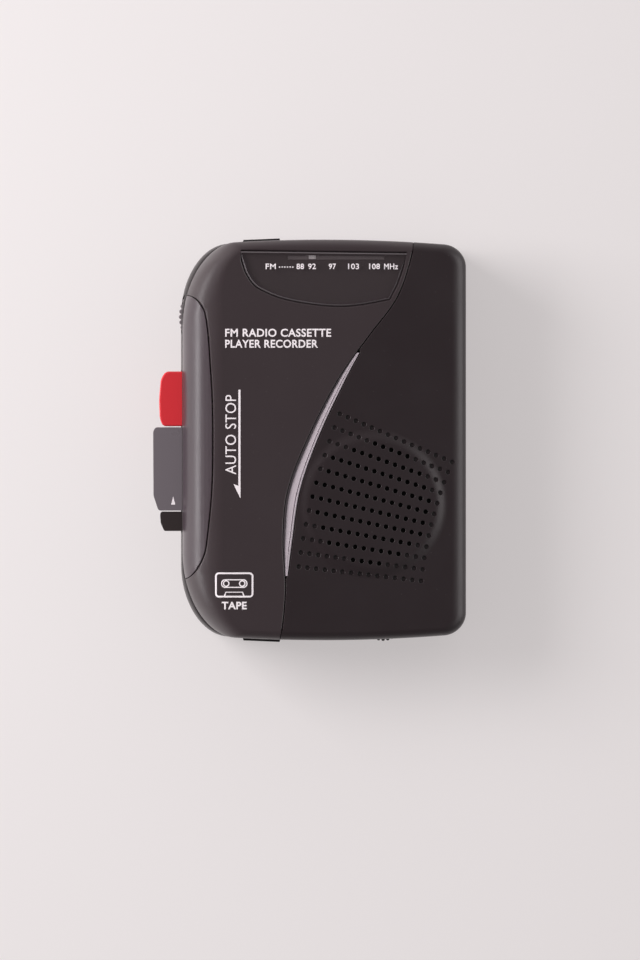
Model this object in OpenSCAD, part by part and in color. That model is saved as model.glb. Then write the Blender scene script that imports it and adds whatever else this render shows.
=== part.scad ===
// Pocket radio cassette recorder lying on its back: a fixed front with a speaker, a dial window and
// a curved seam, a cassette door as the whole rear half, keys on the left side and a battery cover
// on the right side. Z is up, the front faces +Z, and the origin is under the middle of the box
// that holds the body and its keys.

/* [Body] */
// Width of the body without its keys
body_w = 82; // [80:1:100]
// Length of the body
body_l = 115; // [112:1:140]
// Thickness of the body
body_t = 34; // [34:1:42]
// Thickness of the housing walls
wall = 1.8; // [1.4:0.1:2.2]
// How far the short ends bow outwards
end_bow = 1.9; // [0:0.1:3]
// Round of the right corners, seen from the front
corner_r = 6.2; // [4:0.1:8]
// Round of the front edge on the right, top and bottom
edge_r = 2.6; // [2:0.1:3.5]
// Width of the rolled left edge of the front
roll_w = 12; // [8:0.5:14]
// Height of the seam between the front and the rear cabinet
seam_z = 20.2; // [20.2:0.1:21]
// Depth of the cassette door
door_t = 13.5; // [13.5:0.1:13.6]
// Gap between housing pieces
gap = 0.2; // [0.1:0.05:0.3]

/* [Cassette and mechanism] */
// Length of a cassette
cassette_l = 100.4; // [100.4:0.1:101]
// Width of a cassette
cassette_w = 63.8; // [63.8:0.1:64.2]
// Distance between the two cassette hubs
hub_pitch = 42.5; // [42.4:0.1:42.6]
// Distance from the cassette's open edge to its hubs
hub_in = 34.6; // [34:0.1:35]
// Radius of the flywheel
flywheel_r = 12.5; // [10:0.5:12.5]
// Radius of the capstan
capstan_r = 1; // [0.8:0.1:1.2]
// Radius of the pinch roller
pinch_r = 4.5; // [4:0.1:4.8]
// Travel of the head plate
head_travel = 3.15; // [2.5:0.05:3.3]
// Radius of the motor
motor_r = 10; // [8:0.5:10.5]

/* [Keys and wheels] */
// Thickness of the keys
key_t = 5; // [4:0.1:5]
// Length of the record key
record_l = 15.8; // [12:0.1:17]
// Length of the play key
play_l = 24; // [18:0.1:25]
// Length of the stop key
stop_l = 5.6; // [5:0.1:8]
// How far the record key stands out
record_out = 6.3; // [5:0.1:8]
// How far the play key stands out
play_out = 8; // [6:0.1:10]
// How far the stop key stands out
stop_out = 6; // [5:0.1:8]
// Radius of the tuning wheel
tuning_r = 10.5; // [9:0.1:10.8]
// Radius of the volume wheel
volume_r = 6.4; // [6:0.1:6.6]
// Thickness of both wheels
wheel_t = 3; // [2.5:0.1:3.1]

/* [Speaker and batteries] */
// Radius of the speaker
speaker_r = 18; // [15:0.5:18]
// Diameter of the grille holes
hole_d = 1.3; // [0.8:0.1:1.6]
// Radius of a battery cell
cell_r = 7; // [6.5:0.1:7]
// Length of a cell's can
cell_l = 49; // [48:0.5:49]

/* [Hidden] */
$fn = 48;
eps = 0.01;

// Edges of the body. The keys stand out to the left of xl.
xl = -(body_w + play_out) / 2 + play_out;
xr = (body_w + play_out) / 2;
xc = (xl + xr) / 2;
ye = body_l / 2;
front_z = body_t;

// Colours
black = "#2b2729";
soft_black = "#363133";
grey = "#6f6a70";
red = "#d8343a";
steel = "#b9babd";

// The face is drawn at this size and stretched to the body.
drawn_w = 82;
drawn_l = 115;
function on_face(p) = [xc + p.x * body_w / drawn_w, p.y * body_l / drawn_l];

// A smooth curve through points, n steps between each two.
function through(p, n) = [
    for (i = [0:len(p) - 2]) for (j = [0:n - (i < len(p) - 2 ? 1 : 0)])
        let (t = j / n, a = p[max(i - 1, 0)], b = p[i], c = p[i + 1], d = p[min(i + 2, len(p) - 1)])
            0.5 * (2 * b + (c - a) * t + (2 * a - 5 * b + 4 * c - d) * t * t
                + (3 * b - a - 3 * c + d) * t * t * t)
];
function arc(cx, cy, a, b, from, to, n) = [
    for (i = [0:n]) let (t = from + (to - from) * i / n) [cx + a * cos(t), cy + b * sin(t)]
];
function bow(p) = [p.x, p.y * (1 - end_bow / ye * pow((p.x - xc) / (body_w / 2), 2))];

// Plan outline, anticlockwise: left and right edges, half length, and the corners' half axes.
function plan(left, right, half, la, lb, ra) = [
    for (p = concat(
        arc(right - ra, ra - half, ra, ra, -90, 0, 7),
        arc(right - ra, half - ra, ra, ra, 0, 90, 7),
        [for (i = [1:6]) [(right - ra) + (left + la - right + ra) * i / 7, half]],
        arc(left + la, half - lb, la, lb, 90, 180, 12),
        arc(left + la, lb - half, la, lb, 180, 270, 12),
        [for (i = [1:6]) [(left + la) + (right - ra - left - la) * i / 7, -half]]
    )) bow(p)
];
corner_a = 13.2;
corner_b = 20.4;
function housing(d) =
    plan(xl + d, xr - d, ye - d, corner_a - d, corner_b - d, corner_r - d);

// The front sits a little inside the cabinet on the left, most of all at the corners.
reveal = 0.5;
function front_foot(d) =
    plan(xl + reveal + d, xr - d, ye - d, corner_a + 1.8 - d, corner_b + 3.6 - d, corner_r - d);
front_flat = plan(xl + reveal + roll_w, xr - edge_r, ye - edge_r, 7, 12, corner_r - edge_r);
// Height of the roll at each point: tall on the left, edge_r elsewhere.
roll_h = front_z - seam_z - 0.3;
function left_share(x) = let (t = min(max((xl + 17 - x) / 10, 0), 1)) t * t * (3 - 2 * t);
function front_ring(d, t) = let (foot = front_foot(d), outer = front_foot(0)) [
    for (i = [0:len(foot) - 1])
        let (h = edge_r + (roll_h - edge_r) * left_share(outer[i].x), p = foot[i]
            + (front_flat[i] - foot[i]) * (1 - cos(t)))
            [p.x, p.y, front_z - d - (h - d) * (1 - sin(t))]
];
function level(outline, z) = [for (p = outline) [p.x, p.y, z]];

// A closed solid through rings of equal length, from the lowest to the highest.
module skin(rings) {
    n = len(rings[0]);
    m = len(rings);
    polyhedron(
        points = [for (r = rings) for (p = r) p],
        faces = concat(
            [[for (i = [0:n - 1]) i]],
            [[for (i = [n - 1:-1:0]) (m - 1) * n + i]],
            [for (r = [0:m - 2]) for (i = [0:n - 1]) let (a = r * n + i, b = r * n + (i + 1) % n)
                [a, a + n, b + n]],
            [for (r = [0:m - 2]) for (i = [0:n - 1]) let (a = r * n + i, b = r * n + (i + 1) % n)
                [a, b + n, b]]
        )
    );
}
module block(x, y, z) {
    translate([x[0], y[0], z[0]]) cube([x[1] - x[0], y[1] - y[0], z[1] - z[0]]);
}
module rod(x, y, z, r) { translate([x, y, z[0]]) cylinder(h = z[1] - z[0], r = r); }
module rod_y(x, y, z, r) {
    translate([x, y[0], z]) rotate([-90, 0, 0]) cylinder(h = y[1] - y[0], r = r);
}
module rod_x(x, y, z, r) {
    translate([x[0], y, z]) rotate([0, 90, 0]) cylinder(h = x[1] - x[0], r = r);
}
module prism(outline, z) { translate([0, 0, z[0]]) linear_extrude(z[1] - z[0]) polygon(outline); }
module tube_wall(d, t, z) {
    difference() {
        prism(housing(d), z);
        prism(housing(d + t), [z[0] - 1, z[1] + 1]);
    }
}

// The seam runs down the face, and the swoosh widens from it.
seam = [for (p = through([[25.9, 60], [25.3, 52.5], [21.1, 40.6], [13.3, 30], [4.7, 18], [-3.7, 2],
    [-10, -14], [-11.5, -28], [-10.8, -42], [-11.6, -53], [-13, -60]], 4)) on_face(p)];
swoosh = [for (p = through([[10.4, 25], [6.7, 18], [-0.85, 2], [-6.55, -14], [-8.9, -29],
    [-10.2, -39]], 4)) on_face(p)];
function flip(points) = [for (i = [len(points) - 1:-1:0]) [points[i].y, points[i].x]];
function seam_x(y) = lookup(y, flip(seam));
function swoosh_x(y) = lookup(y, flip(swoosh));
swoosh_steps = 20;
function swoosh_y(i) = swoosh[0].y + (swoosh[len(swoosh) - 1].y - swoosh[0].y) * i / swoosh_steps;
function beside_seam(shift, far) = concat(
    [for (p = seam) [p.x + shift, p.y]], [[xc + far, -body_l], [xc + far, body_l]]);

// Front shell before it is parted at the seam
module front_shell() {
    difference() {
        skin(concat([level(front_foot(0), seam_z)], [for (t = [0:15:90]) front_ring(0, t)]));
        skin(concat([level(front_foot(wall), seam_z - 1)],
            [for (t = [0:22.5:90]) front_ring(wall, t)]));
    }
}

// Cabinet screws and the pillars they run into
fascia_pillars = [[xl + 14, ye - 7.4], [xl + 17, 6 - ye], [xc + 10, ye - 22]];
panel_pillars = [[xc + 6, 5 - ye], [xr - 20.5, 8]];
pillar_r = 2.3;
screw_r = 1.05;
fit = 0.05;
deck_z = [14.3, 15.5];
pillar_bore = 9.5;
module pillars(places) {
    difference() {
        intersection() {
            for (p = places) {
                rod(p.x, p.y, [deck_z[1], front_z], pillar_r);
                rod(p.x, p.y, [board_z[1], front_z], pillar_r + 0.9);
            }
            translate([0, 0, -wall / 2]) skin(concat([level(front_foot(wall / 2), seam_z - 8)],
                [for (t = [0:22.5:90]) front_ring(wall / 2, t)]));
        }
        for (p = places) rod(p.x, p.y, [deck_z[1] - 1, deck_z[1] + pillar_bore], screw_r + fit);
    }
}

// Dial window, in the fascia beside the seam
window_outline = [for (p = concat(
    [[-23.6, 54.4], [-23.5, 51.6]],
    through([[-22.5, 48.3], [-20.6, 45.2], [-17.9, 43], [-10.9, 40.2], [0.2, 38.4], [9.1, 38.4],
        [19.2, 40.2]], 3),
    [[21.4, 44.5], [23, 49], [24, 53.8]])) on_face(p)];
window_t = 1.5;
window_ledge = 1.2;
function toward(points, mid, d) = [
    for (p = points) let (v = mid - p) p + v / norm(v) * d
];
window_mid = on_face([0, 48]);

// Side grip, a lens let into the rolled left edge
grip_edge = [for (p = through([[-43, 42], [-38.2, 41.5], [-34.6, 38.2], [-33.2, 33], [-32.3, 22],
    [-31.6, 8], [-31.7, -12], [-33, -27], [-34.4, -34], [-38.6, -39.6], [-43, -40.5]], 3)) on_face(p)];
module grip_region(d) {
    translate([-d, 0, seam_z + 1]) linear_extrude(front_z) polygon(concat(
        grip_edge, [[xl - 5, on_face([0, -40.5]).y], [xl - 5, on_face([0, 42]).y]]));
}

module front_fascia() color(black) {
    difference() {
        intersection() {
            front_shell();
            prism(beside_seam(-gap / 2, -90), [seam_z - 1, front_z + 1]);
        }
        prism(window_outline, [front_z - window_t, front_z + 1]);
        prism(toward(window_outline, window_mid, window_ledge), [front_z - wall - 1, front_z]);
        difference() {
            grip_region(0);
            translate([0, 0, -1]) skin(concat([level(front_foot(grip_t), seam_z - 1)],
                [for (t = [0:15:90]) front_ring(grip_t, t)]));
        }
    }
    pillars(fascia_pillars);
}
grip_t = 0.9;
module side_grip() color(soft_black) {
    intersection() {
        difference() {
            skin(concat([level(front_foot(0), seam_z)], [for (t = [0:15:90]) front_ring(0, t)]));
            translate([0, 0, -1]) skin(concat([level(front_foot(grip_t), seam_z - 1)],
                [for (t = [0:15:90]) front_ring(grip_t, t)]));
        }
        grip_region(gap);
    }
}

// Speaker, its plateau and the fan of holes over it
speaker_x = xr - 26.8;
speaker_y = 39.1 - ye;
plateau_h = 0.8;
plateau_foot = 4.6;
grille_skin = 1.3;
// The outer holes of the fan are blind.
dimple = 0.7;
grille_rows = 12;
grille_row_holes = 15;
row_starts = [[-9.4, 25.8], [-16.7, 4.1], [-21.2, -18]];
row_ends = [[22.8, 12], [17.2, -4.4], [13.9, -22.1]];
function bend(p, t) = p[0] * (1 - t) * (1 - 2 * t) + p[1] * 4 * t * (1 - t) + p[2] * t * (2 * t - 1);
function grille_hole(i, j) = let (t = i / (grille_rows - 1), s = j / (grille_row_holes - 1))
    bend(row_starts, t) * (1 - s) + bend(row_ends, t) * s;
module speaker_panel() color(black) {
    difference() {
        union() {
            difference() {
                front_shell();
                prism(beside_seam(gap / 2, -90), [seam_z - 1, front_z + 1]);
            }
            intersection() {
                translate([speaker_x, speaker_y, front_z - 1]) cylinder(h = 1 + plateau_h,
                    r1 = speaker_r + plateau_foot * (1 + 1 / plateau_h), r2 = speaker_r);
                prism(beside_swoosh(1), [front_z - 1, front_z + 3]);
                prism(housing(edge_r + 0.4), [front_z - 1, front_z + 3]);
            }
        }
        translate([0, 0, -1]) swoosh_prism(gap, wall + 3);
        rod(speaker_x, speaker_y, [front_z - 5, front_z + plateau_h - grille_skin],
            speaker_r + 0.3);
        for (i = [0:grille_rows - 1]) for (j = [0:grille_row_holes - 1])
            let (p = grille_hole(i, j)) if (norm(p) < speaker_r - 0.5)
                rod(speaker_x + p.x, speaker_y + p.y, [front_z - 2, front_z + 3], hole_d / 2);
            else rod(speaker_x + p.x, speaker_y + p.y, [front_z - dimple, front_z + 3], hole_d / 2);
        battery_opening();
    }
    pillars(panel_pillars);
}
function beside_swoosh(d) = concat(
    [for (i = [0:swoosh_steps]) [swoosh_x(swoosh_y(i)) + d, swoosh_y(i)]],
    [on_face([-10, -60]), on_face([60, -60]), on_face([60, 60]), on_face([26.5, 60])]);

// The swoosh slopes up from the seam to the panel. It catches the light as a pale crescent.
swoosh_drop = 1.3;
module swoosh_prism(d, t) {
    skin([for (i = [0:swoosh_steps]) let (y = swoosh_y(i), left = seam_x(y) + gap / 2 - d,
        right = swoosh_x(y) + d, fall = d > 0 ? 0 : swoosh_drop * min(1, (right - left) / 3),
        top = front_z + (d > 0 ? 3 : 0)) [
            [left, y, front_z - t], [right, y, front_z - t], [right, y, top], [left, y, top - fall]
    ]]);
}
module swoosh_trim() color(grey) swoosh_prism(0, wall);

module dial_window() color("#3a3436", 0.7) {
    prism(toward(window_outline, window_mid, 0.15), [front_z - window_t + 0.02, front_z]);
}
dial_z = front_z - wall;
slot_y = on_face([0, 52.5]).y;
slot_from = xc - 10.2;
slot_to = xc + 17.6;
slot_w = 1.5;
module dial_scale() color("#1d1a1b") {
    difference() {
        block([xc - 19, xc + 21.5], [slot_y - 13, slot_y + 1.8], [dial_z - 0.8, dial_z]);
        block([slot_from, slot_to], [slot_y - slot_w / 2, slot_y + slot_w / 2],
            [dial_z - 2, dial_z + 1]);
    }
}
pointer_x = xc - 3.1;
pointer_w = 2;
rail_z = dial_z - 2.6;
module dial_pointer() color("#d8d4d8") {
    block([pointer_x - pointer_w / 2, pointer_x + pointer_w / 2],
        [slot_y - slot_w / 2 + 0.15, slot_y + slot_w / 2 - 0.15], [cord_z[1] + 0.3, dial_z - 0.2]);
    block([pointer_x - 2, pointer_x + 2], [slot_y - 2, slot_y + 1.4], [rail_z - 0.6, rail_z]);
}
// The dial cord runs from the drum on the tuning wheel round two pulleys, under the pointer.
drum_r = 5.4;
pulley_r = 1.6;
cord_t = 0.5;
cord_z = [25.7, 26.3];
tuning_x = xl + 9.9;
tuning_y = ye - 22;
pulley_places = [[xc - 15, slot_y - pulley_r], [xc + 20, slot_y - pulley_r]];
module dial_cord() color("#c9c2ad") {
    translate([0, 0, cord_z[0]]) linear_extrude(cord_z[1] - cord_z[0]) difference() {
        hull() {
            translate([tuning_x, tuning_y]) circle(r = drum_r + cord_t);
            for (p = pulley_places) translate(p) circle(r = pulley_r + cord_t);
        }
        hull() {
            translate([tuning_x, tuning_y]) circle(r = drum_r + 0.03);
            for (p = pulley_places) translate(p) circle(r = pulley_r + 0.03);
        }
    }
}
module dial_pulleys() color(grey) for (p = pulley_places) {
    rod(p.x, p.y, [board_z[1], cord_z[1] + 0.2], 0.8);
    rod(p.x, p.y, [cord_z[0] - 0.2, cord_z[1] + 0.2], pulley_r);
}

// Hinge along the rear right edge
hinge_r = 3.1;
hinge_x = xr - hinge_r;
hinge_z = hinge_r;
pin_r = 0.8;
door_end_x = hinge_x - hinge_r - 0.3;
hinge_half = ye - 7.2;
knuckle = hinge_half / 5;
door_knuckles = [[-3 * knuckle, -knuckle], [knuckle, 3 * knuckle]];

// Battery bay along the right side
cell_x = xr - cell_r - 2.5;
cell_z = deck_z[1] + 0.52 + cell_r;
cells_from = -cell_l - 0.2;
bay_y = [cells_from - 2.6, cell_l + 2.3];
cover_half = 49.5;
cover_z = [deck_z[1] + 0.4, deck_z[1] + 14.9];
module battery_opening() {
    block([xr - wall - 2, xr + 1], [-cover_half - gap, cover_half + gap],
        [cover_z[0] - 0.3, cover_z[1] + gap]);
}

// Wheel places and levels
wheel_z = [deck_z[1] + 0.5, deck_z[1] + 0.5 + wheel_t];
volume_x = xc + 17.3;
volume_y = 6 - ye;
key_mid_z = 17;
key_z = [key_mid_z - key_t / 2, key_mid_z + key_t / 2];
key_gap = 0.3;
record_y = [4, 4 + record_l];
play_y = [record_y[0] - key_gap - play_l, record_y[0] - key_gap];
stop_y = [play_y[0] - key_gap - stop_l, play_y[0] - key_gap];
jack_z = 17.4;
jack_r = 2.4;
phone_x = xc + 10;
power_x = xc - 4;
mic_x = xc - 22;
mic_z = 17.8;
mic_r = 2;
knob_x = xc - 10;
knob_travel = 3.5;
knob_w = 4;
knob_z = [16, 18.8];
function end_y(x) = ye * (1 - end_bow / ye * pow((x - xc) / (body_w / 2), 2));

// Mechanism places
cassette_x = xl + 11.4;
hub_x = cassette_x + hub_in;
capstan_x = cassette_x + 7.1;
capstan_y = -27.5;
plate_z = [15.8, 16.6];
spindle_r = 1.5;
plate_screws = [[hub_x + 8, -39], [hub_x + 9, 27], [xl + 15, 18]];

module rear_cabinet() color(black) {
    difference() {
        union() {
            tube_wall(0, wall, [door_t + gap, seam_z]);
            difference() {
                union() {
                    prism(housing(wall - eps), [seam_z - 2.5, seam_z]);
                    prism(front_foot(wall + 0.1), [seam_z - eps, seam_z + 0.8]);
                }
                prism(front_foot(wall + 1), [seam_z - 3, seam_z + 1]);
            }
            prism(housing(wall - eps), deck_z);
            for (p = plate_screws) rod(p.x, p.y, [deck_z[1] - eps, plate_z[0]], 2.4);
            // Hinge spine
            difference() {
                intersection() {
                    prism(housing(0), [0, door_t + gap + eps]);
                    union() {
                        rod_y(hinge_x, [-ye, ye], hinge_z, hinge_r);
                        block([hinge_x - hinge_r, xr + 1], [-ye, ye], [hinge_z, door_t + 1]);
                    }
                }
                prism(housing(wall), [2 * hinge_r, door_t + 2]);
                block([hinge_x - hinge_r - 1, hinge_x - hinge_r + 0.1], [wall - ye, ye - wall],
                    [hinge_z, door_t + 2]);
            }
        }
        // Room for the door's knuckles, and the pin's bore
        for (k = door_knuckles) block([hinge_x - hinge_r - 1, xr + 1], [k[0] - gap, k[1] + gap],
            [-1, hinge_z + hinge_r + 0.3]);
        rod_y(hinge_x, [-hinge_half, hinge_half], hinge_z, pin_r + 0.02);
        // Key window and the room behind it
        block([xl - 1, xl + wall + 1], [stop_y[0] - 0.4, record_y[1] + 0.4],
            [key_z[0] - 0.3, key_z[1] + 0.3]);
        block([xl + wall - 0.5, xl + 10], [stop_y[0] - 1.5, record_y[1] + 1.5],
            [deck_z[0] - 1, key_z[1] + 0.3]);
        // Wheel slots
        rod(tuning_x, tuning_y, [wheel_z[0] - 0.3, wheel_z[1] + 0.3], tuning_r + 0.4);
        rod(volume_x, volume_y, [wheel_z[0] - 0.3, wheel_z[1] + 0.3], volume_r + 0.4);
        // Jacks, microphone and switch
        rod_y(phone_x, [ye - 5, ye + 1], jack_z, jack_r + fit);
        rod_y(power_x, [-ye - 1, 5 - ye], jack_z, jack_r + fit);
        rod_y(mic_x, [ye - 5, ye + 1], mic_z, 0.6);
        rod_y(mic_x, [ye - 9, end_y(mic_x) - wall / 2], mic_z, mic_r + fit);
        block([knob_x - knob_w / 2 - 0.3, knob_x + knob_w / 2 + knob_travel + 0.3],
            [ye - 5, ye + 1], [knob_z[0] - 0.2, knob_z[1] + 0.2]);
        battery_opening();
        // Bearings, spindles and screws
        rod(capstan_x, capstan_y, [0, 20], bearing_r + 0.1);
        for (s = [-1, 1]) rod(hub_x, s * hub_pitch / 2, [0, 20], spindle_r + 1);
        for (p = plate_screws) rod(p.x, p.y, [0, 20], screw_r);
        for (p = concat(fascia_pillars, panel_pillars)) {
            rod(p.x, p.y, [0, deck_z[1] + eps], screw_r + 0.2);
            rod(p.x, p.y, [deck_z[1], 40], pillar_r + 0.1);
        }
    }
}

// Cassette door: the rear half of the body, with a pocket for the cassette
door_skin = 1.6;
rail_in = cassette_l / 2 + 0.6;
hub_window = [[hub_x - 9, hub_x + 9], [-29, 29]];
tab_x = [xc - 23.2, xc - 12.4];
tab_out = 0.95;
module door_tab() {
    prism([[tab_x[0] - 0.4, end_y(tab_x[0]) - 1], [tab_x[1] + 0.4, end_y(tab_x[1]) - 1],
        [tab_x[1] - 0.2, end_y(tab_x[1]) + tab_out], [tab_x[0] + 0.2, end_y(tab_x[0]) + tab_out]],
        [6, 12.5]);
}
door_edge_r = 3;
function door_ring(t) = level(housing(door_edge_r * (1 - sin(t))), door_edge_r * (1 - cos(t)));
module cassette_door() color(black) {
    difference() {
        union() {
            difference() {
                skin(concat([for (t = [0:22.5:90]) door_ring(t)], [level(housing(0), door_t)]));
                prism(housing(wall), [door_skin, door_t + 1]);
                block([door_end_x, xr + 1], [-ye - 1, ye + 1], [-1, door_t + 1]);
            }
            for (k = door_knuckles) {
                rod_y(hinge_x, k, hinge_z, hinge_r);
                block([door_end_x - 3, hinge_x], k, [0, door_skin]);
            }
            door_tab();
            mirror([0, 1, 0]) door_tab();
            for (s = [0, 1]) mirror([0, s, 0]) {
                block([cassette_x + 9, door_end_x - 4], [rail_in, rail_in + 1.2],
                    [door_skin - eps, 13.2]);
                block([cassette_x + 9, door_end_x - 4], [rail_in - 2.4, rail_in + 0.5],
                    [12.6, 13.2]);
            }
        }
        for (k = door_knuckles) rod_y(hinge_x, [k[0] - 1, k[1] + 1], hinge_z, pin_r + fit);
        block(hub_window[0], hub_window[1], [-1, door_skin + 1]);
        block([hub_window[0][0] - 1, hub_window[0][1] + 1],
            [hub_window[1][0] - 1, hub_window[1][1] + 1], [door_skin / 2, door_skin + 1]);
    }
}
module door_window() color("#8f9499", 0.5) {
    c = 0.1;
    block([hub_window[0][0] + c, hub_window[0][1] - c], [hub_window[1][0] + c, hub_window[1][1] - c],
        [c, door_skin / 2 + eps]);
    block([hub_window[0][0] - 1 + c, hub_window[0][1] + 1 - c],
        [hub_window[1][0] - 1 + c, hub_window[1][1] + 1 - c], [door_skin / 2 + eps, door_skin - c]);
}
module door_hinge_pin() color(steel) {
    rod_y(hinge_x, [-hinge_half + 0.5, hinge_half - 0.5], hinge_z, pin_r);
}
module cassette_springs() color(steel) for (s = [-1, 1]) {
    translate([hub_x + 13.5, s * 28, door_skin]) {
        block([-2, 9], [-2, 2], [0, 0.3]);
        rotate([0, 12, 0]) block([-6, 0], [-2, 2], [0, 0.3]);
    }
}

// Battery bay
cover_t = 1.4;
cover_x = xr - 0.3 - cover_t / 2;
cover_pivot_z = cover_z[0] + cover_t / 2;
module battery_cover() color(black) {
    block([cover_x - cover_t / 2, cover_x + cover_t / 2], [-cover_half, cover_half],
        [cover_pivot_z, cover_z[1]]);
    rod_y(cover_x, [-cover_half, cover_half], cover_pivot_z, cover_t / 2);
    for (i = [-3:3]) block([cover_x + cover_t / 2 - eps, cover_x + cover_t / 2 + 0.25],
        [cover_half - 9.4 + i * 1.2, cover_half - 8.8 + i * 1.2],
        [cover_z[1] - 8, cover_z[1] - 2.5]);
}
tray_x = cell_x - cell_r - 0.8;
module battery_tray() color(soft_black) {
    block([tray_x, xr - wall - 1.2], [bay_y[0] - 0.4, bay_y[1] + 0.4], [deck_z[1], deck_z[1] + 0.5]);
    block([tray_x, tray_x + 0.7], [bay_y[0] - 0.4, bay_y[1] + 0.4], [deck_z[1], cell_z + 3]);
    for (y = [bay_y[0] - 1.2, bay_y[1] + 0.2])
        block([tray_x, xr - 5.6], [y, y + 1], [deck_z[1], cell_z + 5]);
}
module battery_cells() for (y = [cells_from, cells_from + cell_l + 1]) {
    color("#8b8f94") rod_y(cell_x, [y, y + cell_l], cell_z, cell_r);
    color(steel) rod_y(cell_x, [y + cell_l - eps, y + cell_l + 0.98], cell_z, 2.6);
}
module battery_contacts() color(steel) {
    block([cell_x - 5, cell_x + 5], [bay_y[1] - 0.2, bay_y[1] + 0.2], [cell_z - 5, cell_z + 5]);
    block([cell_x - 5, cell_x + 5], [bay_y[0] - 0.2, bay_y[0] + 0.2], [cell_z - 5, cell_z + 5]);
}
module battery_spring() color(steel) {
    for (i = [0:4]) translate([cell_x, bay_y[0] + 0.5 + i * 0.4, cell_z]) rotate([90, 0, 0])
        rotate_extrude() translate([4.5 - i * 0.4, 0]) circle(r = 0.3, $fn = 16);
}

// Keys: moulded caps on steel levers
module key_cap(y, out, tint) color(tint) {
    c = 1.1;
    prism([[xl - out, y[0] + c], [xl - out + c, y[0]], [xl + 1.2, y[0]], [xl + 1.2, y[1]],
        [xl - out + c, y[1]], [xl - out, y[1] - c]], key_z);
}
lever_z = [plate_z[1] + 0.2, plate_z[1] + 0.8];
module lever(y, w, l) color(steel) {
    block([xl + 1.2, xl + 1.2 + l], [y - w / 2, y + w / 2], lever_z);
}
module record_key() key_cap(record_y, record_out, red);
module play_key() key_cap(play_y, play_out, grey);
module stop_key() key_cap(stop_y, stop_out, black);
module record_lever() lever((record_y[0] + record_y[1]) / 2, 6, 10);
module play_lever() lever((play_y[0] + play_y[1]) / 2, 8, 11);
module stop_lever() lever((stop_y[0] + stop_y[1]) / 2, 4, 6);
module lock_bar() color(steel) {
    block([xl + 6.5, xl + 9.2], [stop_y[0] + 1.5, record_y[1] - 3], [lever_z[1] + 0.15,
        lever_z[1] + 0.45]);
    block([xl + 5.5, xl + 7.1], [stop_y[0] + 1.5, stop_y[0] + 3], [lever_z[1], lever_z[1] + 0.2]);
}
module key_springs() color(steel) {
    for (y = [(record_y[0] + record_y[1]) / 2, (play_y[0] + play_y[1]) / 2]) difference() {
        rod_x([xl + 17.5, xl + 23], y, plate_z[1] + 0.8, 0.8);
        rod_x([xl + 16, xl + 24], y, plate_z[1] + 0.8, 0.5);
    }
}

// Tuning and volume
knurls = 40;
module knurled(r, z) {
    rod(0, 0, z, r - 0.3);
    for (i = [0:knurls - 1]) rotate(i * 360 / knurls) block([r - 0.7, r], [-0.3, 0.3], z);
}
module tuning_wheel() color(soft_black) translate([tuning_x, tuning_y, 0]) {
    knurled(tuning_r, wheel_z);
    rod(0, 0, [wheel_z[1] - eps, cord_z[0] - 0.3], 1.5);
    rod(0, 0, [cord_z[0] - 0.3 - eps, cord_z[1] + 0.3], drum_r);
}
board_z = [23.5, 25.1];
module tuning_capacitor() color("#d9d2c4") translate([tuning_x, tuning_y, 0]) difference() {
    block([-4.5, 8], [-6, 6], [wheel_z[1] + 0.5, board_z[0]]);
    rod(0, 0, [0, 40], 1.5 + fit);
}
module volume_wheel() color(soft_black) translate([volume_x, volume_y, 0]) {
    rod(0, 0, wheel_z, volume_r - 0.3);
    for (i = [0:27]) rotate(i * 360 / 28) block([volume_r - 0.7, volume_r], [-0.25, 0.25], wheel_z);
    rod(0, 0, [wheel_z[1] - eps, board_z[0] - 0.5], 1.5);
}
module volume_pot() color("#7d5a3c") translate([volume_x, volume_y, 0]) difference() {
    block([-5, 5], [-1.9, 8], [wheel_z[1] + 0.5, board_z[0]]);
    rod(0, 0, [0, board_z[0] - 0.4], 1.5 + fit);
}

// Switch and sockets in the cabinet's ends
module function_knob() color(soft_black) {
    block([knob_x - knob_w / 2, knob_x + knob_w / 2], [end_y(knob_x) - 4.4, end_y(knob_x) - 0.3],
        knob_z);
}
module function_switch() color(steel) {
    y = end_y(knob_x) - 4.6;
    block([knob_x - knob_w / 2 - 2, knob_x + knob_w / 2 + knob_travel + 2], [y - 4.2, y],
        [deck_z[1], 20]);
}
plug_r = 1.8;
module socket(x, side, hole, depth) {
    translate([x, 0, 0]) mirror([0, side < 0 ? 1 : 0, 0]) difference() {
        union() {
            rod_y(0, [end_y(x) - 4.5, end_y(x) - 0.15], jack_z, jack_r);
            block([-4.5, 4.5], [end_y(x) - 13.5, end_y(x) - wall - 1.6],
                [deck_z[1], deck_z[1] + 5.5]);
        }
        rod_y(0, [end_y(x) - depth, ye + 1], jack_z, hole);
    }
}
module headphone_jack() color("#1c1a1b") socket(phone_x, 1, plug_r, 12);
module power_jack() color("#1c1a1b") {
    socket(power_x, -1, 1.75, 8);
    rod_y(power_x, [0.4 - end_y(power_x), 8.5 - end_y(power_x)], jack_z, 0.5);
}
module microphone() color(steel) {
    rod_y(mic_x, [end_y(mic_x) - 4.6, end_y(mic_x) - wall / 2], mic_z, mic_r);
}

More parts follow.
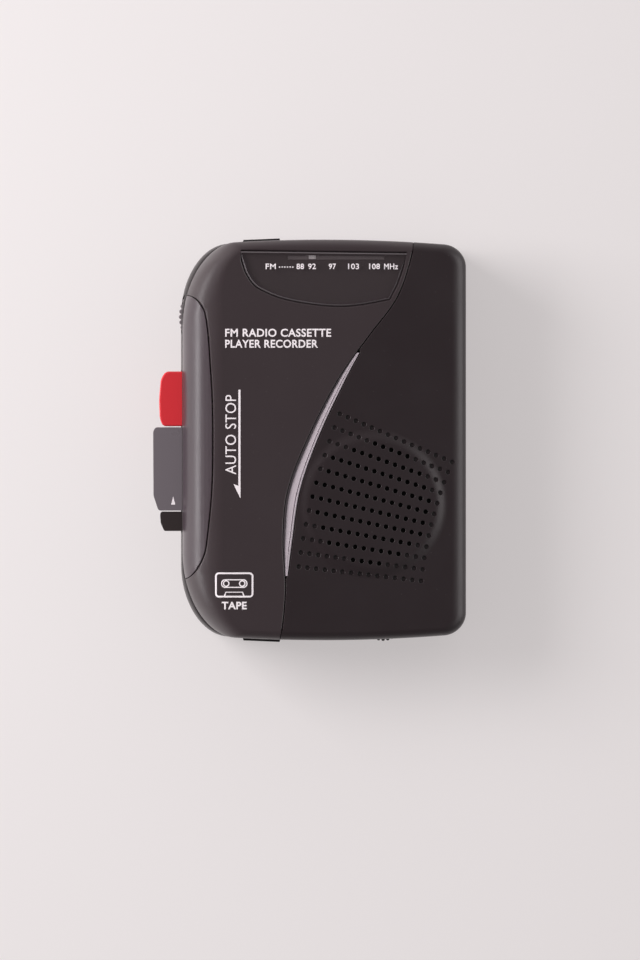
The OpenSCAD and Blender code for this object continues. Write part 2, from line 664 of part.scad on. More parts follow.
// Circuit board and what stands on it
module circuit_board() color("#3f6b3c") difference() {
    intersection() {
        prism(housing(4.2), board_z);
        block([xl, tray_x - 0.6], [10 - body_l / 2 - 5, ye - 5], board_z);
    }
    rod(motor_x, motor_y, [0, 40], motor_r + 0.6);
    rod(tuning_x, tuning_y, [0, 40], 2);
    for (p = concat(fascia_pillars, panel_pillars)) rod(p.x, p.y, [0, 40], pillar_r + 0.4);
}
module board_parts() {
    color("#1c1a1b") block([xl + 12, xl + 26], [-6, 0], [board_z[1], board_z[1] + 2.2]);
    color("#1c1a1b") block([xl + 12, xl + 22], [-20, -15], [board_z[1], board_z[1] + 2.2]);
    color("#2f3e6a") for (p = [[10, -32], [17, -32], [24, -30], [12, 8], [44, 32]])
        rod(xl + p.x, p.y, [board_z[1], board_z[1] + 5], 2.4);
    color("#a5713c") for (p = [[28, 6], [33, 6], [38, 6]])
        rod(xl + p.x, p.y, [board_z[1], board_z[1] + 3], 1.6);
}

// Loudspeaker under the grille
grille_under = front_z + plateau_h - grille_skin;
module speaker_frame() color(steel) translate([speaker_x, speaker_y, 0]) rotate_extrude() polygon([
    [8.6, grille_under - 5], [9.4, grille_under - 5], [speaker_r - 1.4, grille_under - 1.8],
    [speaker_r, grille_under - 1.8], [speaker_r, grille_under - 0.2],
    [speaker_r - 1.2, grille_under - 0.2], [speaker_r - 1.2, grille_under - 1.2],
    [speaker_r - 2.1, grille_under - 1.4], [8.6, grille_under - 4.3]]);
module speaker_cone() color("#4a4648") translate([speaker_x, speaker_y, 0]) rotate_extrude() polygon([
    [0, grille_under - 2.2], [3, grille_under - 2.4], [5, grille_under - 3.2],
    [speaker_r - 4, grille_under - 1], [speaker_r - 2.2, grille_under - 0.5],
    [speaker_r - 1.3, grille_under - 0.9], [speaker_r - 1.3, grille_under - 1.15],
    [speaker_r - 2.3, grille_under - 0.9], [speaker_r - 4, grille_under - 1.3],
    [5, grille_under - 3.5], [3, grille_under - 2.7], [0, grille_under - 2.5]]);
module speaker_magnet() color("#5a5c60") {
    rod(speaker_x, speaker_y, [grille_under - 7.4, grille_under - 5], 8.6);
}
module grille_cloth() color("#161415") {
    rod(speaker_x, speaker_y, [grille_under - 0.2, grille_under], speaker_r);
}

// Tape mechanism on its steel plate
bearing_r = 2.6;
hub_z = [plate_z[1] + 0.3, plate_z[1] + 1.2];
disc_r = 10;
fly_hub_r = 6;
fly_z = [18.2, 21.3];
reach = [hub_x - capstan_x, -hub_pitch / 2 - capstan_y];
idler_r = (norm(reach) - disc_r - fly_hub_r) / 2 - 0.1;
idler_at = [capstan_x, capstan_y] + reach / norm(reach) * (fly_hub_r + 0.1 + idler_r);
motor_x = xl + 29;
motor_y = 23.2;
motor_z = [21.6, 31.2];
belt_z = [19.2, 20.2];
module mechanism_plate() color(steel) {
    difference() {
        prism([[xl + 12, -43], [hub_x + 12, -43], [hub_x + 12, 32.6], [motor_x - 7, 32.6],
            [motor_x - 7, 22], [xl + 12, 22]], plate_z);
        rod(capstan_x, capstan_y, [0, 20], bearing_r + fit);
        for (s = [-1, 1]) rod(hub_x, s * hub_pitch / 2, [0, 20], spindle_r + fit);
        for (p = plate_screws) rod(p.x, p.y, [0, 20], screw_r + fit);
    }
    rod(idler_at.x, idler_at.y, [plate_z[1] - eps, hub_z[1] + 0.05], 1);
}
head_x = [xl + 2.4, xl + 7.6];
head_z = [13, 13.8];
module head_plate() color(steel) {
    difference() {
        block(head_x, [capstan_y - 8, record_y[1] + 0.2], head_z);
        rod(capstan_x - pinch_r - capstan_r - 0.05 - head_travel, capstan_y, [0, 20], 0.8 + fit);
    }
    block([head_x[0] + 1.2, head_x[0] + 3.4], [-10, -6], [head_z[1] - eps, lever_z[0] - 0.5]);
}
module tape_head() color("#c9cacc") {
    difference() {
        block([xl + 3.5, xl + 10], [-6, 6], [3.4, head_z[0]]);
        for (s = [-1, 1]) translate([xl + 10, s * 6, 0]) rotate(45)
            block([-1.6, 1.6], [-1.6, 1.6], [0, 20]);
    }
}
module erase_head() color("#3b3a3c") {
    block([xl + 4, xl + 9.5], [11, 18], [4.2, head_z[0]]);
}
pinch_x = capstan_x - pinch_r - capstan_r - 0.05 - head_travel;
pinch_z = [4.8, 11.8];
module pinch_bracket() color(steel) {
    difference() {
        union() {
            block([xl + 2.6, pinch_x + 1.6], [capstan_y - 2.6, capstan_y + 2.6],
                [head_z[0] - 0.8, head_z[0]]);
            block([xl + 2.6, pinch_x + 1.6], [capstan_y - 2.6, capstan_y + 2.6], [3.4, 4.2]);
            block([xl + 2.6, xl + 3.4], [capstan_y - 2.6, capstan_y + 2.6], [3.4, head_z[0]]);
        }
        rod(pinch_x, capstan_y, [0, 20], 0.75);
    }
    rod(pinch_x, capstan_y, [3.4, head_z[0]], 0.8);
}
module pinch_roller() color("#1b1a1a") difference() {
    rod(pinch_x, capstan_y, pinch_z, pinch_r);
    rod(pinch_x, capstan_y, [0, 20], 0.8 + fit);
}
module flywheel() color("#a98b4f") translate([capstan_x, capstan_y, 0]) rotate_extrude() polygon([
    [capstan_r, hub_z[0]], [fly_hub_r, hub_z[0]], [fly_hub_r, hub_z[1]], [fly_hub_r - 1, fly_z[0]],
    [flywheel_r, fly_z[0]], [flywheel_r, belt_z[0] - 0.4], [flywheel_r - 0.8, belt_z[0]],
    [flywheel_r - 0.8, belt_z[1]], [flywheel_r, belt_z[1] + 0.4], [flywheel_r, fly_z[1]],
    [capstan_r, fly_z[1]]]);
module capstan() color("#d5d7da") rod(capstan_x, capstan_y, [5, fly_z[1] + 0.5], capstan_r);
module capstan_bearing() color("#b58a4a") difference() {
    rod(capstan_x, capstan_y, [deck_z[0] - 0.9, plate_z[1]], bearing_r);
    rod(capstan_x, capstan_y, [0, 20], capstan_r + fit);
}
module idler_wheel() color("#1b1a1a") difference() {
    rod(idler_at.x, idler_at.y, hub_z, idler_r);
    rod(idler_at.x, idler_at.y, [0, 20], 1 + fit);
}
motor_pulley_r = 2.2;
module motor() color("#c4c6c9") {
    rod(motor_x, motor_y, motor_z, motor_r);
    rod(motor_x, motor_y, [motor_z[0] - 0.6, motor_z[0] + eps], 3);
    rod(motor_x, motor_y, [belt_z[0] - 0.6, motor_z[0]], 0.7);
}
module motor_pulley() color("#c9a14f") translate([motor_x, motor_y, 0]) rotate_extrude() polygon([
    [0.7 + fit, belt_z[0] - 0.6], [motor_pulley_r + 0.6, belt_z[0] - 0.6],
    [motor_pulley_r + 0.6, belt_z[0] - 0.3], [motor_pulley_r, belt_z[0]],
    [motor_pulley_r, belt_z[1]], [motor_pulley_r + 0.6, belt_z[1] + 0.3],
    [motor_pulley_r + 0.6, belt_z[1] + 0.5], [0.7 + fit, belt_z[1] + 0.5]]);
module motor_bracket() color(steel) {
    difference() {
        block([motor_x - 6, motor_x + 16], [motor_y - 8.5, motor_y + 8.5], [motor_z[0] - 0.6,
            motor_z[0]]);
        rod(motor_x, motor_y, [0, 40], 3.05);
    }
    for (s = [-1, 1]) block([motor_x + 12.5, motor_x + 16], [motor_y + s * 7 - 1.5,
        motor_y + s * 7 + 1.5], [plate_z[1], motor_z[0] - 0.6 + eps]);
}
belt_w = 0.9;
module drive_belt() color("#141313") translate([0, 0, belt_z[0] + 0.05])
    linear_extrude(belt_z[1] - belt_z[0] - 0.1) difference() {
        hull() {
            translate([capstan_x, capstan_y]) circle(r = flywheel_r - 0.77 + belt_w, $fn = 64);
            translate([motor_x, motor_y]) circle(r = motor_pulley_r + 0.03 + belt_w);
        }
        hull() {
            translate([capstan_x, capstan_y]) circle(r = flywheel_r - 0.77, $fn = 64);
            translate([motor_x, motor_y]) circle(r = motor_pulley_r + 0.03);
        }
    }

// Reel spindles: a flange, a splined post and a shaft through the plate
tip_z = 6.4;
module spindle(y, shaft_top) color("#e3e0da") translate([hub_x, y, 0]) {
    rod(0, 0, [tip_z + 0.6, 13], 2.6);
    translate([0, 0, tip_z]) cylinder(h = 0.6 + eps, r1 = 1.6, r2 = 2.6);
    for (i = [0:2]) rotate(i * 120) block([0, 4.3], [-0.6, 0.6], [tip_z + 1.2, 13]);
    rod(0, 0, [13 - eps, 14], 7);
    rod(0, 0, [14 - eps, shaft_top], spindle_r);
}
module takeup_spindle() spindle(-hub_pitch / 2, hub_z[1] + 0.4);
module supply_spindle() spindle(hub_pitch / 2, plate_z[1] + 0.6);
module takeup_disc() color("#e3e0da") difference() {
    rod(hub_x, -hub_pitch / 2, hub_z, disc_r);
    rod(hub_x, -hub_pitch / 2, [0, 20], spindle_r);
}

module cabinet_screws() color(steel) {
    for (p = concat(fascia_pillars, panel_pillars)) {
        rod(p.x, p.y, [deck_z[0] - 0.9, deck_z[0]], 2);
        rod(p.x, p.y, [deck_z[0] - eps, deck_z[1] + pillar_bore - 1.5], screw_r);
    }
    for (p = plate_screws) {
        rod(p.x, p.y, [plate_z[1], plate_z[1] + 0.8], 1.8);
        rod(p.x, p.y, [deck_z[0], plate_z[1] + eps], screw_r - fit);
    }
}

front_fascia();
speaker_panel();
swoosh_trim();
side_grip();
dial_window();
dial_scale();
dial_pointer();
dial_cord();
dial_pulleys();
rear_cabinet();
cassette_door();
door_window();
door_hinge_pin();
cassette_springs();
battery_cover();
battery_tray();
battery_cells();
battery_contacts();
battery_spring();
record_key();
play_key();
stop_key();
record_lever();
play_lever();
stop_lever();
lock_bar();
key_springs();
tuning_wheel();
tuning_capacitor();
volume_wheel();
volume_pot();
function_knob();
function_switch();
headphone_jack();
power_jack();
microphone();
circuit_board();
board_parts();
speaker_frame();
speaker_cone();
speaker_magnet();
grille_cloth();
mechanism_plate();
head_plate();
tape_head();
erase_head();
pinch_bracket();
pinch_roller();
flywheel();
capstan();
capstan_bearing();
idler_wheel();
motor();
motor_pulley();
motor_bracket();
drive_belt();
takeup_spindle();
takeup_disc();
supply_spindle();
cabinet_screws();
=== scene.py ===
import math

import bmesh
import bpy
from mathutils import Matrix, Vector
from mathutils.bvhtree import BVHTree


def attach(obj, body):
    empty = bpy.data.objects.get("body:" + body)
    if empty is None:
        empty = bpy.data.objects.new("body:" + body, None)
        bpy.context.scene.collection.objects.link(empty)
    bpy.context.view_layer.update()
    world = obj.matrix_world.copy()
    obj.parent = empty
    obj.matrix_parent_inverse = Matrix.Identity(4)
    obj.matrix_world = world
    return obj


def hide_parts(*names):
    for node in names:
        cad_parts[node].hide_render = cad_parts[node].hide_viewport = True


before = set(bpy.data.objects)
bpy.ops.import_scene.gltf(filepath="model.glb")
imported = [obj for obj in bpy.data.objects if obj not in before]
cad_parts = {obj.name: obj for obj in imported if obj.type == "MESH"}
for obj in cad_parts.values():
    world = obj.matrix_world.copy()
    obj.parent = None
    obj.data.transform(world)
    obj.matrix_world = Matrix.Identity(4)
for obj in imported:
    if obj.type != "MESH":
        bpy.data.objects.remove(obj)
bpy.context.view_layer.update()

# The studio: a white table with a low soft window on the left, with the room dark overhead.
# The recorder lies on its back and the camera looks straight down at its front. The table glows
# a little of itself: less to the camera and through clear plastic than to the recorder's sides.
TABLE_WHITE = (0.40, 0.385, 0.387, 1)
TABLE_GLOW, GLOW_UNSEEN = 0.45, 0.7
TABLE_HALF, TABLE_DROP = 2.5, 0.0002
AIM = Vector((0.0031, -0.0115, 0.020))
CAMERA_HEIGHT, FRAME_HEIGHT, SENSOR_HEIGHT = 3.0, 0.2766, 24.0
LAMP_AIM = Vector((0.0, 0.0, 0.02))

table_shader = bpy.data.materials.new("white_table")
table_shader.use_nodes = True
table_finish = table_shader.node_tree.nodes["Principled BSDF"]
table_finish.inputs["Base Color"].default_value = TABLE_WHITE
table_finish.inputs["Roughness"].default_value = 0.65
table_finish.inputs["Specular IOR Level"].default_value = 0.2
table_finish.inputs["Emission Color"].default_value = (1.0, 0.945, 0.945, 1)
table_path = table_shader.node_tree.nodes.new("ShaderNodeLightPath")
table_glow = table_shader.node_tree.nodes.new("ShaderNodeMapRange")
table_glow.inputs["To Min"].default_value = GLOW_UNSEEN
table_glow.inputs["To Max"].default_value = TABLE_GLOW
table_seen = table_shader.node_tree.nodes.new("ShaderNodeMath")
table_seen.operation = "MAXIMUM"
table_shader.node_tree.links.new(table_path.outputs["Is Camera Ray"], table_seen.inputs[0])
table_shader.node_tree.links.new(table_path.outputs["Is Transmission Ray"], table_seen.inputs[1])
table_shader.node_tree.links.new(table_seen.outputs[0], table_glow.inputs["Value"])
table_shader.node_tree.links.new(table_glow.outputs[0], table_finish.inputs["Emission Strength"])
table = bmesh.new()
bmesh.ops.create_grid(table, x_segments=1, y_segments=1, size=TABLE_HALF)
table_mesh = bpy.data.meshes.new("table")
table.to_mesh(table_mesh)
table.free()
table_mesh.materials.append(table_shader)
table_top = bpy.data.objects.new("table", table_mesh)
bpy.context.collection.objects.link(table_top)
table_top.location.z = -TABLE_DROP


def soft_light(name, place, width, height, watts, colour):
    """A rectangular lamp, turned to the recorder. Sizes and places are in metres."""
    lamp = bpy.data.lights.new(name, "AREA")
    lamp.shape = "RECTANGLE"
    lamp.size = width
    lamp.size_y = height
    lamp.energy = watts
    lamp.color = colour
    holder = bpy.data.objects.new(name, lamp)
    bpy.context.collection.objects.link(holder)
    holder.location = place
    holder.rotation_euler = (LAMP_AIM - Vector(place)).to_track_quat("-Z", "Y").to_euler()
    return holder


soft_light("window_light", (-0.99, 0.08, 0.115), 0.8, 0.20, 3.4, (1.0, 0.97, 0.985))
key_light = soft_light("key_light", (-0.48, 0.20, 0.47), 0.38, 0.38, 4.0, (1.0, 0.97, 0.97))
key_light.visible_glossy = False
edge_light = soft_light("edge_light", (0.72, 0.10, 0.56), 0.8, 0.6, 4.2, (1.0, 0.97, 0.975))
edge_light.visible_diffuse = False

world = bpy.data.worlds.new("room")
world.use_nodes = True
bpy.context.scene.world = world
room = world.node_tree
for node in list(room.nodes):
    room.nodes.remove(node)
room_out = room.nodes.new("ShaderNodeOutputWorld")
room_glow = room.nodes.new("ShaderNodeBackground")
room_ramp = room.nodes.new("ShaderNodeValToRGB")
room_split = room.nodes.new("ShaderNodeSeparateXYZ")
room_place = room.nodes.new("ShaderNodeTexCoord")
room.links.new(room_place.outputs["Generated"], room_split.inputs[0])
room.links.new(room_split.outputs["Z"], room_ramp.inputs["Fac"])
room_side = room.nodes.new("ShaderNodeMapRange")
room_side.inputs["From Min"].default_value = -1.0
room_side.inputs["To Min"].default_value = 0.6
room_side.inputs["To Max"].default_value = 2.0
room.links.new(room_split.outputs["Y"], room_side.inputs["Value"])
room.links.new(room_side.outputs[0], room_glow.inputs["Strength"])
room.links.new(room_ramp.outputs["Color"], room_glow.inputs["Color"])
room.links.new(room_glow.outputs[0], room_out.inputs["Surface"])
room_bands = [(0.0, 0.72), (0.40, 0.46), (0.70, 0.22), (0.95, 0.145)]
while len(room_ramp.color_ramp.elements) < len(room_bands):
    room_ramp.color_ramp.elements.new(0.5)
for stop, (place, glow) in zip(room_ramp.color_ramp.elements, room_bands):
    stop.position = place
    stop.color = (glow, glow * 0.965, glow * 0.97, 1)

view_camera = bpy.data.cameras.new("camera")
view_camera.sensor_fit = "VERTICAL"
view_camera.sensor_height = SENSOR_HEIGHT
view_camera.lens = SENSOR_HEIGHT * CAMERA_HEIGHT / FRAME_HEIGHT
view_camera.clip_start = 0.01
view_camera.clip_end = 20
camera_stand = bpy.data.objects.new("camera", view_camera)
bpy.context.collection.objects.link(camera_stand)
camera_stand.location = AIM + Vector((0, 0, CAMERA_HEIGHT))
bpy.context.scene.camera = camera_stand
bpy.context.scene.view_settings.view_transform = "Standard"

# The moulded ABS shells are sprayed a satin black. The tool's fine spark grain shows as a slight
# sparkle, hands leave faint smears in the gloss, and a little dust lies in it.
MM = 0.001


def make_group(name, inputs, outputs):
    group = bpy.data.node_groups.new(name, "ShaderNodeTree")
    for label, default in inputs:
        socket = group.interface.new_socket(label, in_out="INPUT", socket_type="NodeSocketFloat")
        socket.default_value = default
    for label, kind in outputs:
        group.interface.new_socket(label, in_out="OUTPUT", socket_type=kind)
    return group, group.nodes.new("NodeGroupInput"), group.nodes.new("NodeGroupOutput")


grain, grain_in, grain_out = make_group(
    "moulded_grain",
    [("Grain per metre", 4200.0), ("Depth", 0.25), ("Smear", 0.5), ("Roughness", 0.45)],
    [("Height", "NodeSocketFloat"), ("Roughness", "NodeSocketFloat"), ("Dust", "NodeSocketFloat")])
grain_place = grain.nodes.new("ShaderNodeTexCoord")
grain_noise = grain.nodes.new("ShaderNodeTexNoise")
grain_noise.inputs["Detail"].default_value = 3.0
grain.links.new(grain_place.outputs["Object"], grain_noise.inputs["Vector"])
grain.links.new(grain_in.outputs["Grain per metre"], grain_noise.inputs["Scale"])
grain_depth = grain.nodes.new("ShaderNodeMath")
grain_depth.operation = "MULTIPLY"
grain.links.new(grain_noise.outputs["Fac"], grain_depth.inputs[0])
grain.links.new(grain_in.outputs["Depth"], grain_depth.inputs[1])
grain.links.new(grain_depth.outputs[0], grain_out.inputs["Height"])
smear_noise = grain.nodes.new("ShaderNodeTexNoise")
smear_noise.inputs["Scale"].default_value = 55.0
smear_noise.inputs["Detail"].default_value = 5.0
smear_noise.inputs["Roughness"].default_value = 0.62
grain.links.new(grain_place.outputs["Object"], smear_noise.inputs["Vector"])
smear_range = grain.nodes.new("ShaderNodeMapRange")
smear_range.inputs["From Min"].default_value = 0.35
smear_range.inputs["From Max"].default_value = 0.70
smear_range.inputs["To Min"].default_value = -0.07
smear_range.inputs["To Max"].default_value = 0.07
grain.links.new(smear_noise.outputs["Fac"], smear_range.inputs["Value"])
smear_amount = grain.nodes.new("ShaderNodeMath")
smear_amount.operation = "MULTIPLY"
grain.links.new(smear_range.outputs[0], smear_amount.inputs[0])
grain.links.new(grain_in.outputs["Smear"], smear_amount.inputs[1])
smear_sum = grain.nodes.new("ShaderNodeMath")
smear_sum.operation = "ADD"
grain.links.new(smear_amount.outputs[0], smear_sum.inputs[0])
grain.links.new(grain_in.outputs["Roughness"], smear_sum.inputs[1])
grain.links.new(smear_sum.outputs[0], grain_out.inputs["Roughness"])
dust_cells = grain.nodes.new("ShaderNodeTexVoronoi")
dust_cells.inputs["Scale"].default_value = 420.0
grain.links.new(grain_place.outputs["Object"], dust_cells.inputs["Vector"])
dust_spots = grain.nodes.new("ShaderNodeMapRange")
dust_spots.inputs["From Min"].default_value = 0.045
dust_spots.inputs["From Max"].default_value = 0.02
grain.links.new(dust_cells.outputs["Distance"], dust_spots.inputs["Value"])
grain.links.new(dust_spots.outputs[0], grain_out.inputs["Dust"])


def moulded_plastic(name, colour, roughness, grain_depth=0.25, smear=0.5, dust=0.25, coat=0.0,
                    specular=0.5, per_metre=4200.0):
    shader = bpy.data.materials.new(name)
    shader.use_nodes = True
    tree = shader.node_tree
    finish = tree.nodes["Principled BSDF"]
    detail = tree.nodes.new("ShaderNodeGroup")
    detail.node_tree = grain
    detail.inputs["Grain per metre"].default_value = per_metre
    detail.inputs["Depth"].default_value = grain_depth
    detail.inputs["Smear"].default_value = smear
    detail.inputs["Roughness"].default_value = roughness
    bump = tree.nodes.new("ShaderNodeBump")
    bump.inputs["Strength"].default_value = 0.35
    bump.inputs["Distance"].default_value = 0.00006
    tree.links.new(detail.outputs["Height"], bump.inputs["Height"])
    tree.links.new(bump.outputs["Normal"], finish.inputs["Normal"])
    tree.links.new(detail.outputs["Roughness"], finish.inputs["Roughness"])
    amount = tree.nodes.new("ShaderNodeMath")
    amount.operation = "MULTIPLY"
    amount.inputs[1].default_value = dust
    tree.links.new(detail.outputs["Dust"], amount.inputs[0])
    tint = tree.nodes.new("ShaderNodeMix")
    tint.data_type = "RGBA"
    tint.inputs["A"].default_value = (*colour, 1)
    tint.inputs["B"].default_value = (0.33, 0.31, 0.31, 1)
    tree.links.new(amount.outputs[0], tint.inputs["Factor"])
    tree.links.new(tint.outputs["Result"], finish.inputs["Base Color"])
    finish.inputs["Coat Weight"].default_value = coat
    finish.inputs["Coat Roughness"].default_value = 0.12
    finish.inputs["Specular IOR Level"].default_value = specular
    return shader


fascia_black = moulded_plastic("fascia_black", (0.038, 0.027, 0.030), 0.40)
panel_black = moulded_plastic("panel_black", (0.018, 0.011, 0.013), 0.42)

# Front fascia: the left part of the front, injection moulded with a broad rolled left edge. Its
# inner edge is the long curved seam, and three screws from inside the cassette bay hold it.
BODY_W, FRONT_Z, SEAM_Z = 82.0, 34.0, 20.2
LEFT, RIGHT, MIDDLE, END = -37.0, 45.0, 4.0, 57.5
WALL, GAP, REVEAL, END_BOW = 1.8, 0.2, 0.5, 1.9
EDGE_R, CORNER_R, RIGHT_ROUND, SEAM_ROUND = 2.6, 6.2, 4.2, 0.32
ROLL_W, ROLL_END, ROLL_FADE = 12.0, LEFT + 17.0, 10.0
ROLL_H = FRONT_Z - SEAM_Z - 0.3
LEFT_ROUND, LEFT_ROUND_FLAT = (15.0, 24.0), (7.0, 12.0)
CORNER_STEPS, STRAIGHT_STEPS, SEAM_STEPS = 20, 10, 90


def through(points, steps):
    """A smooth curve through points, with the given number of steps between each two."""
    made = []
    for i in range(len(points) - 1):
        a, b = points[max(i - 1, 0)], points[i]
        c, d = points[i + 1], points[min(i + 2, len(points) - 1)]
        for j in range(steps + (i == len(points) - 2)):
            t = j / steps
            made.append(tuple(0.5 * (2 * b[k] + (c[k] - a[k]) * t
                                     + (2 * a[k] - 5 * b[k] + 4 * c[k] - d[k]) * t * t
                                     + (3 * b[k] - a[k] - 3 * c[k] + d[k]) * t ** 3)
                              for k in range(2)))
    return made


def x_at(curve, y):
    """Where a curve that runs down the face crosses height y."""
    for (x0, y0), (x1, y1) in zip(curve, curve[1:]):
        if min(y0, y1) - 1e-6 <= y <= max(y0, y1) + 1e-6:
            return x0 + (x1 - x0) * (y - y0) / (y1 - y0 or 1)
    return curve[0][0] if abs(y - curve[0][1]) < abs(y - curve[-1][1]) else curve[-1][0]


def on_face(points):
    """Points measured from the middle of the front, moved to where it lies."""
    return [(x + MIDDLE, y) for x, y in points]


seam = through(on_face([(25.9, 60), (25.3, 52.5), (21.1, 40.6), (13.3, 30), (4.7, 18), (-3.7, 2),
                        (-10, -14), (-11.5, -28), (-10.8, -42), (-11.6, -53), (-13, -60)]), 10)
swoosh = through(on_face([(10.4, 25), (6.7, 18), (-0.85, 2), (-6.55, -14), (-8.9, -29),
                          (-10.2, -39)]), 10)


def bowed(x, y):
    """The two ends bow: y shrinks towards the left and right."""
    return y * (1 - END_BOW / END * ((x - MIDDLE) / (BODY_W / 2)) ** 2)


def roll_share(x):
    """How far the edge at x has the left roll's height (1) or the small edge radius (0)."""
    t = min(max((ROLL_END - x) / ROLL_FADE, 0), 1)
    return t * t * (3 - 2 * t)


def edge_path(side, d, flat, corner_steps=CORNER_STEPS, straight_steps=STRAIGHT_STEPS):
    """Half of the outline, from the seam at the top round the left or right to the bottom seam."""
    if flat:
        left, right, half = LEFT + REVEAL + ROLL_W, RIGHT - RIGHT_ROUND, END - EDGE_R
        left_across, left_along = LEFT_ROUND_FLAT
        corner = CORNER_R - EDGE_R
    else:
        left, right, half = LEFT + REVEAL + d, RIGHT - d, END - d
        left_across, left_along = LEFT_ROUND[0] - d, LEFT_ROUND[1] - d
        corner = CORNER_R - d
    seam_top = x_at(seam, half) + (GAP / 2 if side > 0 else -GAP / 2)
    seam_low = x_at(seam, -half) + (GAP / 2 if side > 0 else -GAP / 2)
    centre = (right - corner) if side > 0 else (left + left_across)
    across, along = (corner, corner) if side > 0 else (left_across, left_along)
    path = [(seam_top + (centre - seam_top) * i / straight_steps, half)
            for i in range(straight_steps)]
    for quarter in (0, 1):
        for i in range(corner_steps + 1):
            t = math.radians(90 * quarter + 90 * i / corner_steps)
            path.append((centre + side * across * math.sin(t),
                         (half - along if quarter == 0 else along - half) + along * math.cos(t)))
    path += [(centre + (seam_low - centre) * i / straight_steps, -half)
             for i in range(1, straight_steps + 1)]
    return [(x, bowed(x, y)) for x, y in path]


def start_loop(bm, places):
    """A closed ring of new edges."""
    verts = [bm.verts.new(p) for p in places]
    for i in range(len(verts)):
        bm.edges.new((verts[i - 1], verts[i]))
    return verts


def loop_edges(bm, loop):
    return [bm.edges.get((loop[i - 1], loop[i])) for i in range(len(loop))]


def raise_loop(bm, loop, places):
    """Extrudes a closed loop and puts the new vertices in their places."""
    made = bmesh.ops.extrude_edge_only(bm, edges=loop_edges(bm, loop))["geom"]
    fresh = {g for g in made if isinstance(g, bmesh.types.BMVert)}
    new = [next(e.other_vert(v) for e in v.link_edges if e.other_vert(v) in fresh) for v in loop]
    for v, p in zip(new, places):
        v.co = p
    return new


def stack(levels):
    """A closed solid through loops of equal length, from the lowest to the highest."""
    bm = bmesh.new()
    loop = start_loop(bm, levels[0])
    bmesh.ops.edgeloop_fill(bm, edges=loop_edges(bm, loop))
    for places in levels[1:]:
        loop = raise_loop(bm, loop, places)
    bmesh.ops.edgeloop_fill(bm, edges=loop_edges(bm, loop))
    bmesh.ops.recalc_face_normals(bm, faces=bm.faces)
    return bm


def rolled_levels(foot, flat, heights, bottom, top, rings=16):
    """Levels that rise from the foot and roll over to the flat, each point by its own height."""
    levels = [[(x, y, bottom) for x, y in foot]]
    for k in range(rings + 1):
        t = math.pi / 2 * k / rings
        levels.append([(f[0] + (c[0] - f[0]) * (1 - math.cos(t)),
                        f[1] + (c[1] - f[1]) * (1 - math.cos(t)),
                        top - h * (1 - math.sin(t))) for f, c, h in zip(foot, flat, heights)])
    return levels


def shell_half(side, border, d=0.0, bottom=SEAM_Z, top=FRONT_Z):
    """Fascia (side -1) or panel (side 1): the outer edge rolls over, the seam edge is rounded."""
    foot, flat = edge_path(side, d, False), edge_path(side, 0, True)
    heights = [EDGE_R - d + (ROLL_H - EDGE_R) * roll_share(p[0]) for p in edge_path(side, 0, False)]
    low, high = flat[-1][1] + 0.5, flat[0][1] - 0.5
    for i in range(SEAM_STEPS + 1):
        y = low + (high - low) * i / SEAM_STEPS
        x = border(y)
        slope = (border(y + 0.05) - border(y - 0.05)) / 0.1
        inward = Vector((side, -side * slope)).normalized()
        foot.append((x, y))
        flat.append((x + inward.x * SEAM_ROUND, y + inward.y * SEAM_ROUND))
        heights.append(SEAM_ROUND)
    return stack(rolled_levels(foot, flat, heights, bottom, top))


def to_object(name, bm):
    """A bmesh in millimetres becomes an object in metres."""
    bmesh.ops.scale(bm, vec=(MM, MM, MM), verts=bm.verts)
    mesh = bpy.data.meshes.new(name)
    bm.to_mesh(mesh)
    bm.free()
    piece = bpy.data.objects.new(name, mesh)
    bpy.context.collection.objects.link(piece)
    return piece


def carve(piece, tool_bm, how="DIFFERENCE"):
    """Cuts a piece with a solid in millimetres, which is then thrown away."""
    tool = to_object("cutter", tool_bm)
    cut = piece.modifiers.new("cut", "BOOLEAN")
    cut.object = tool
    cut.operation = how
    cut.solver = "EXACT"
    bpy.context.view_layer.update()
    result = bpy.data.meshes.new_from_object(
        piece.evaluated_get(bpy.context.evaluated_depsgraph_get()))
    piece.modifiers.remove(cut)
    old = piece.data
    piece.data = result
    bpy.data.meshes.remove(old)
    spare = tool.data
    bpy.data.objects.remove(tool)
    bpy.data.meshes.remove(spare)


def dress(piece, body, shader, stands_for=(), sharp=30, weld=0.000002):
    """Smooth faces with crisp edges, then the piece's finish and body; the nodes it stands for are hidden.
    """
    bm = bmesh.new()
    bm.from_mesh(piece.data)
    bmesh.ops.remove_doubles(bm, verts=bm.verts, dist=weld)
    bmesh.ops.dissolve_degenerate(bm, edges=bm.edges, dist=weld)
    for face in bm.faces:
        face.smooth = True
        face.material_index = 0
    for edge in bm.edges:
        edge.smooth = len(edge.link_faces) == 2 and edge.calc_face_angle(0) < math.radians(sharp)
    bm.to_mesh(piece.data)
    bm.free()
    piece.modifiers.clear()
    even = piece.modifiers.new("even_shading", "WEIGHTED_NORMAL")
    even.keep_sharp = True
    even.weight = 60
    piece.data.materials.clear()
    piece.data.materials.append(shader)
    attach(piece, body)
    if stands_for:
        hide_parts(*stands_for)
    return piece


def inner_hollow(d):
    """The room under the whole front, a wall's thickness in."""
    right = edge_path(1, d, False, 8, 4)
    left = edge_path(-1, d, False, 8, 4)
    flat_right, flat_left = edge_path(1, 0, True, 8, 4), edge_path(-1, 0, True, 8, 4)
    foot, flat = right + left[::-1], flat_right + flat_left[::-1]
    outer = edge_path(1, 0, False, 8, 4) + edge_path(-1, 0, False, 8, 4)[::-1]
    heights = [EDGE_R - d + (ROLL_H - EDGE_R) * roll_share(p[0]) for p in outer]
    return stack(rolled_levels(foot, flat, heights, SEAM_Z - 1, FRONT_Z - d, 8))


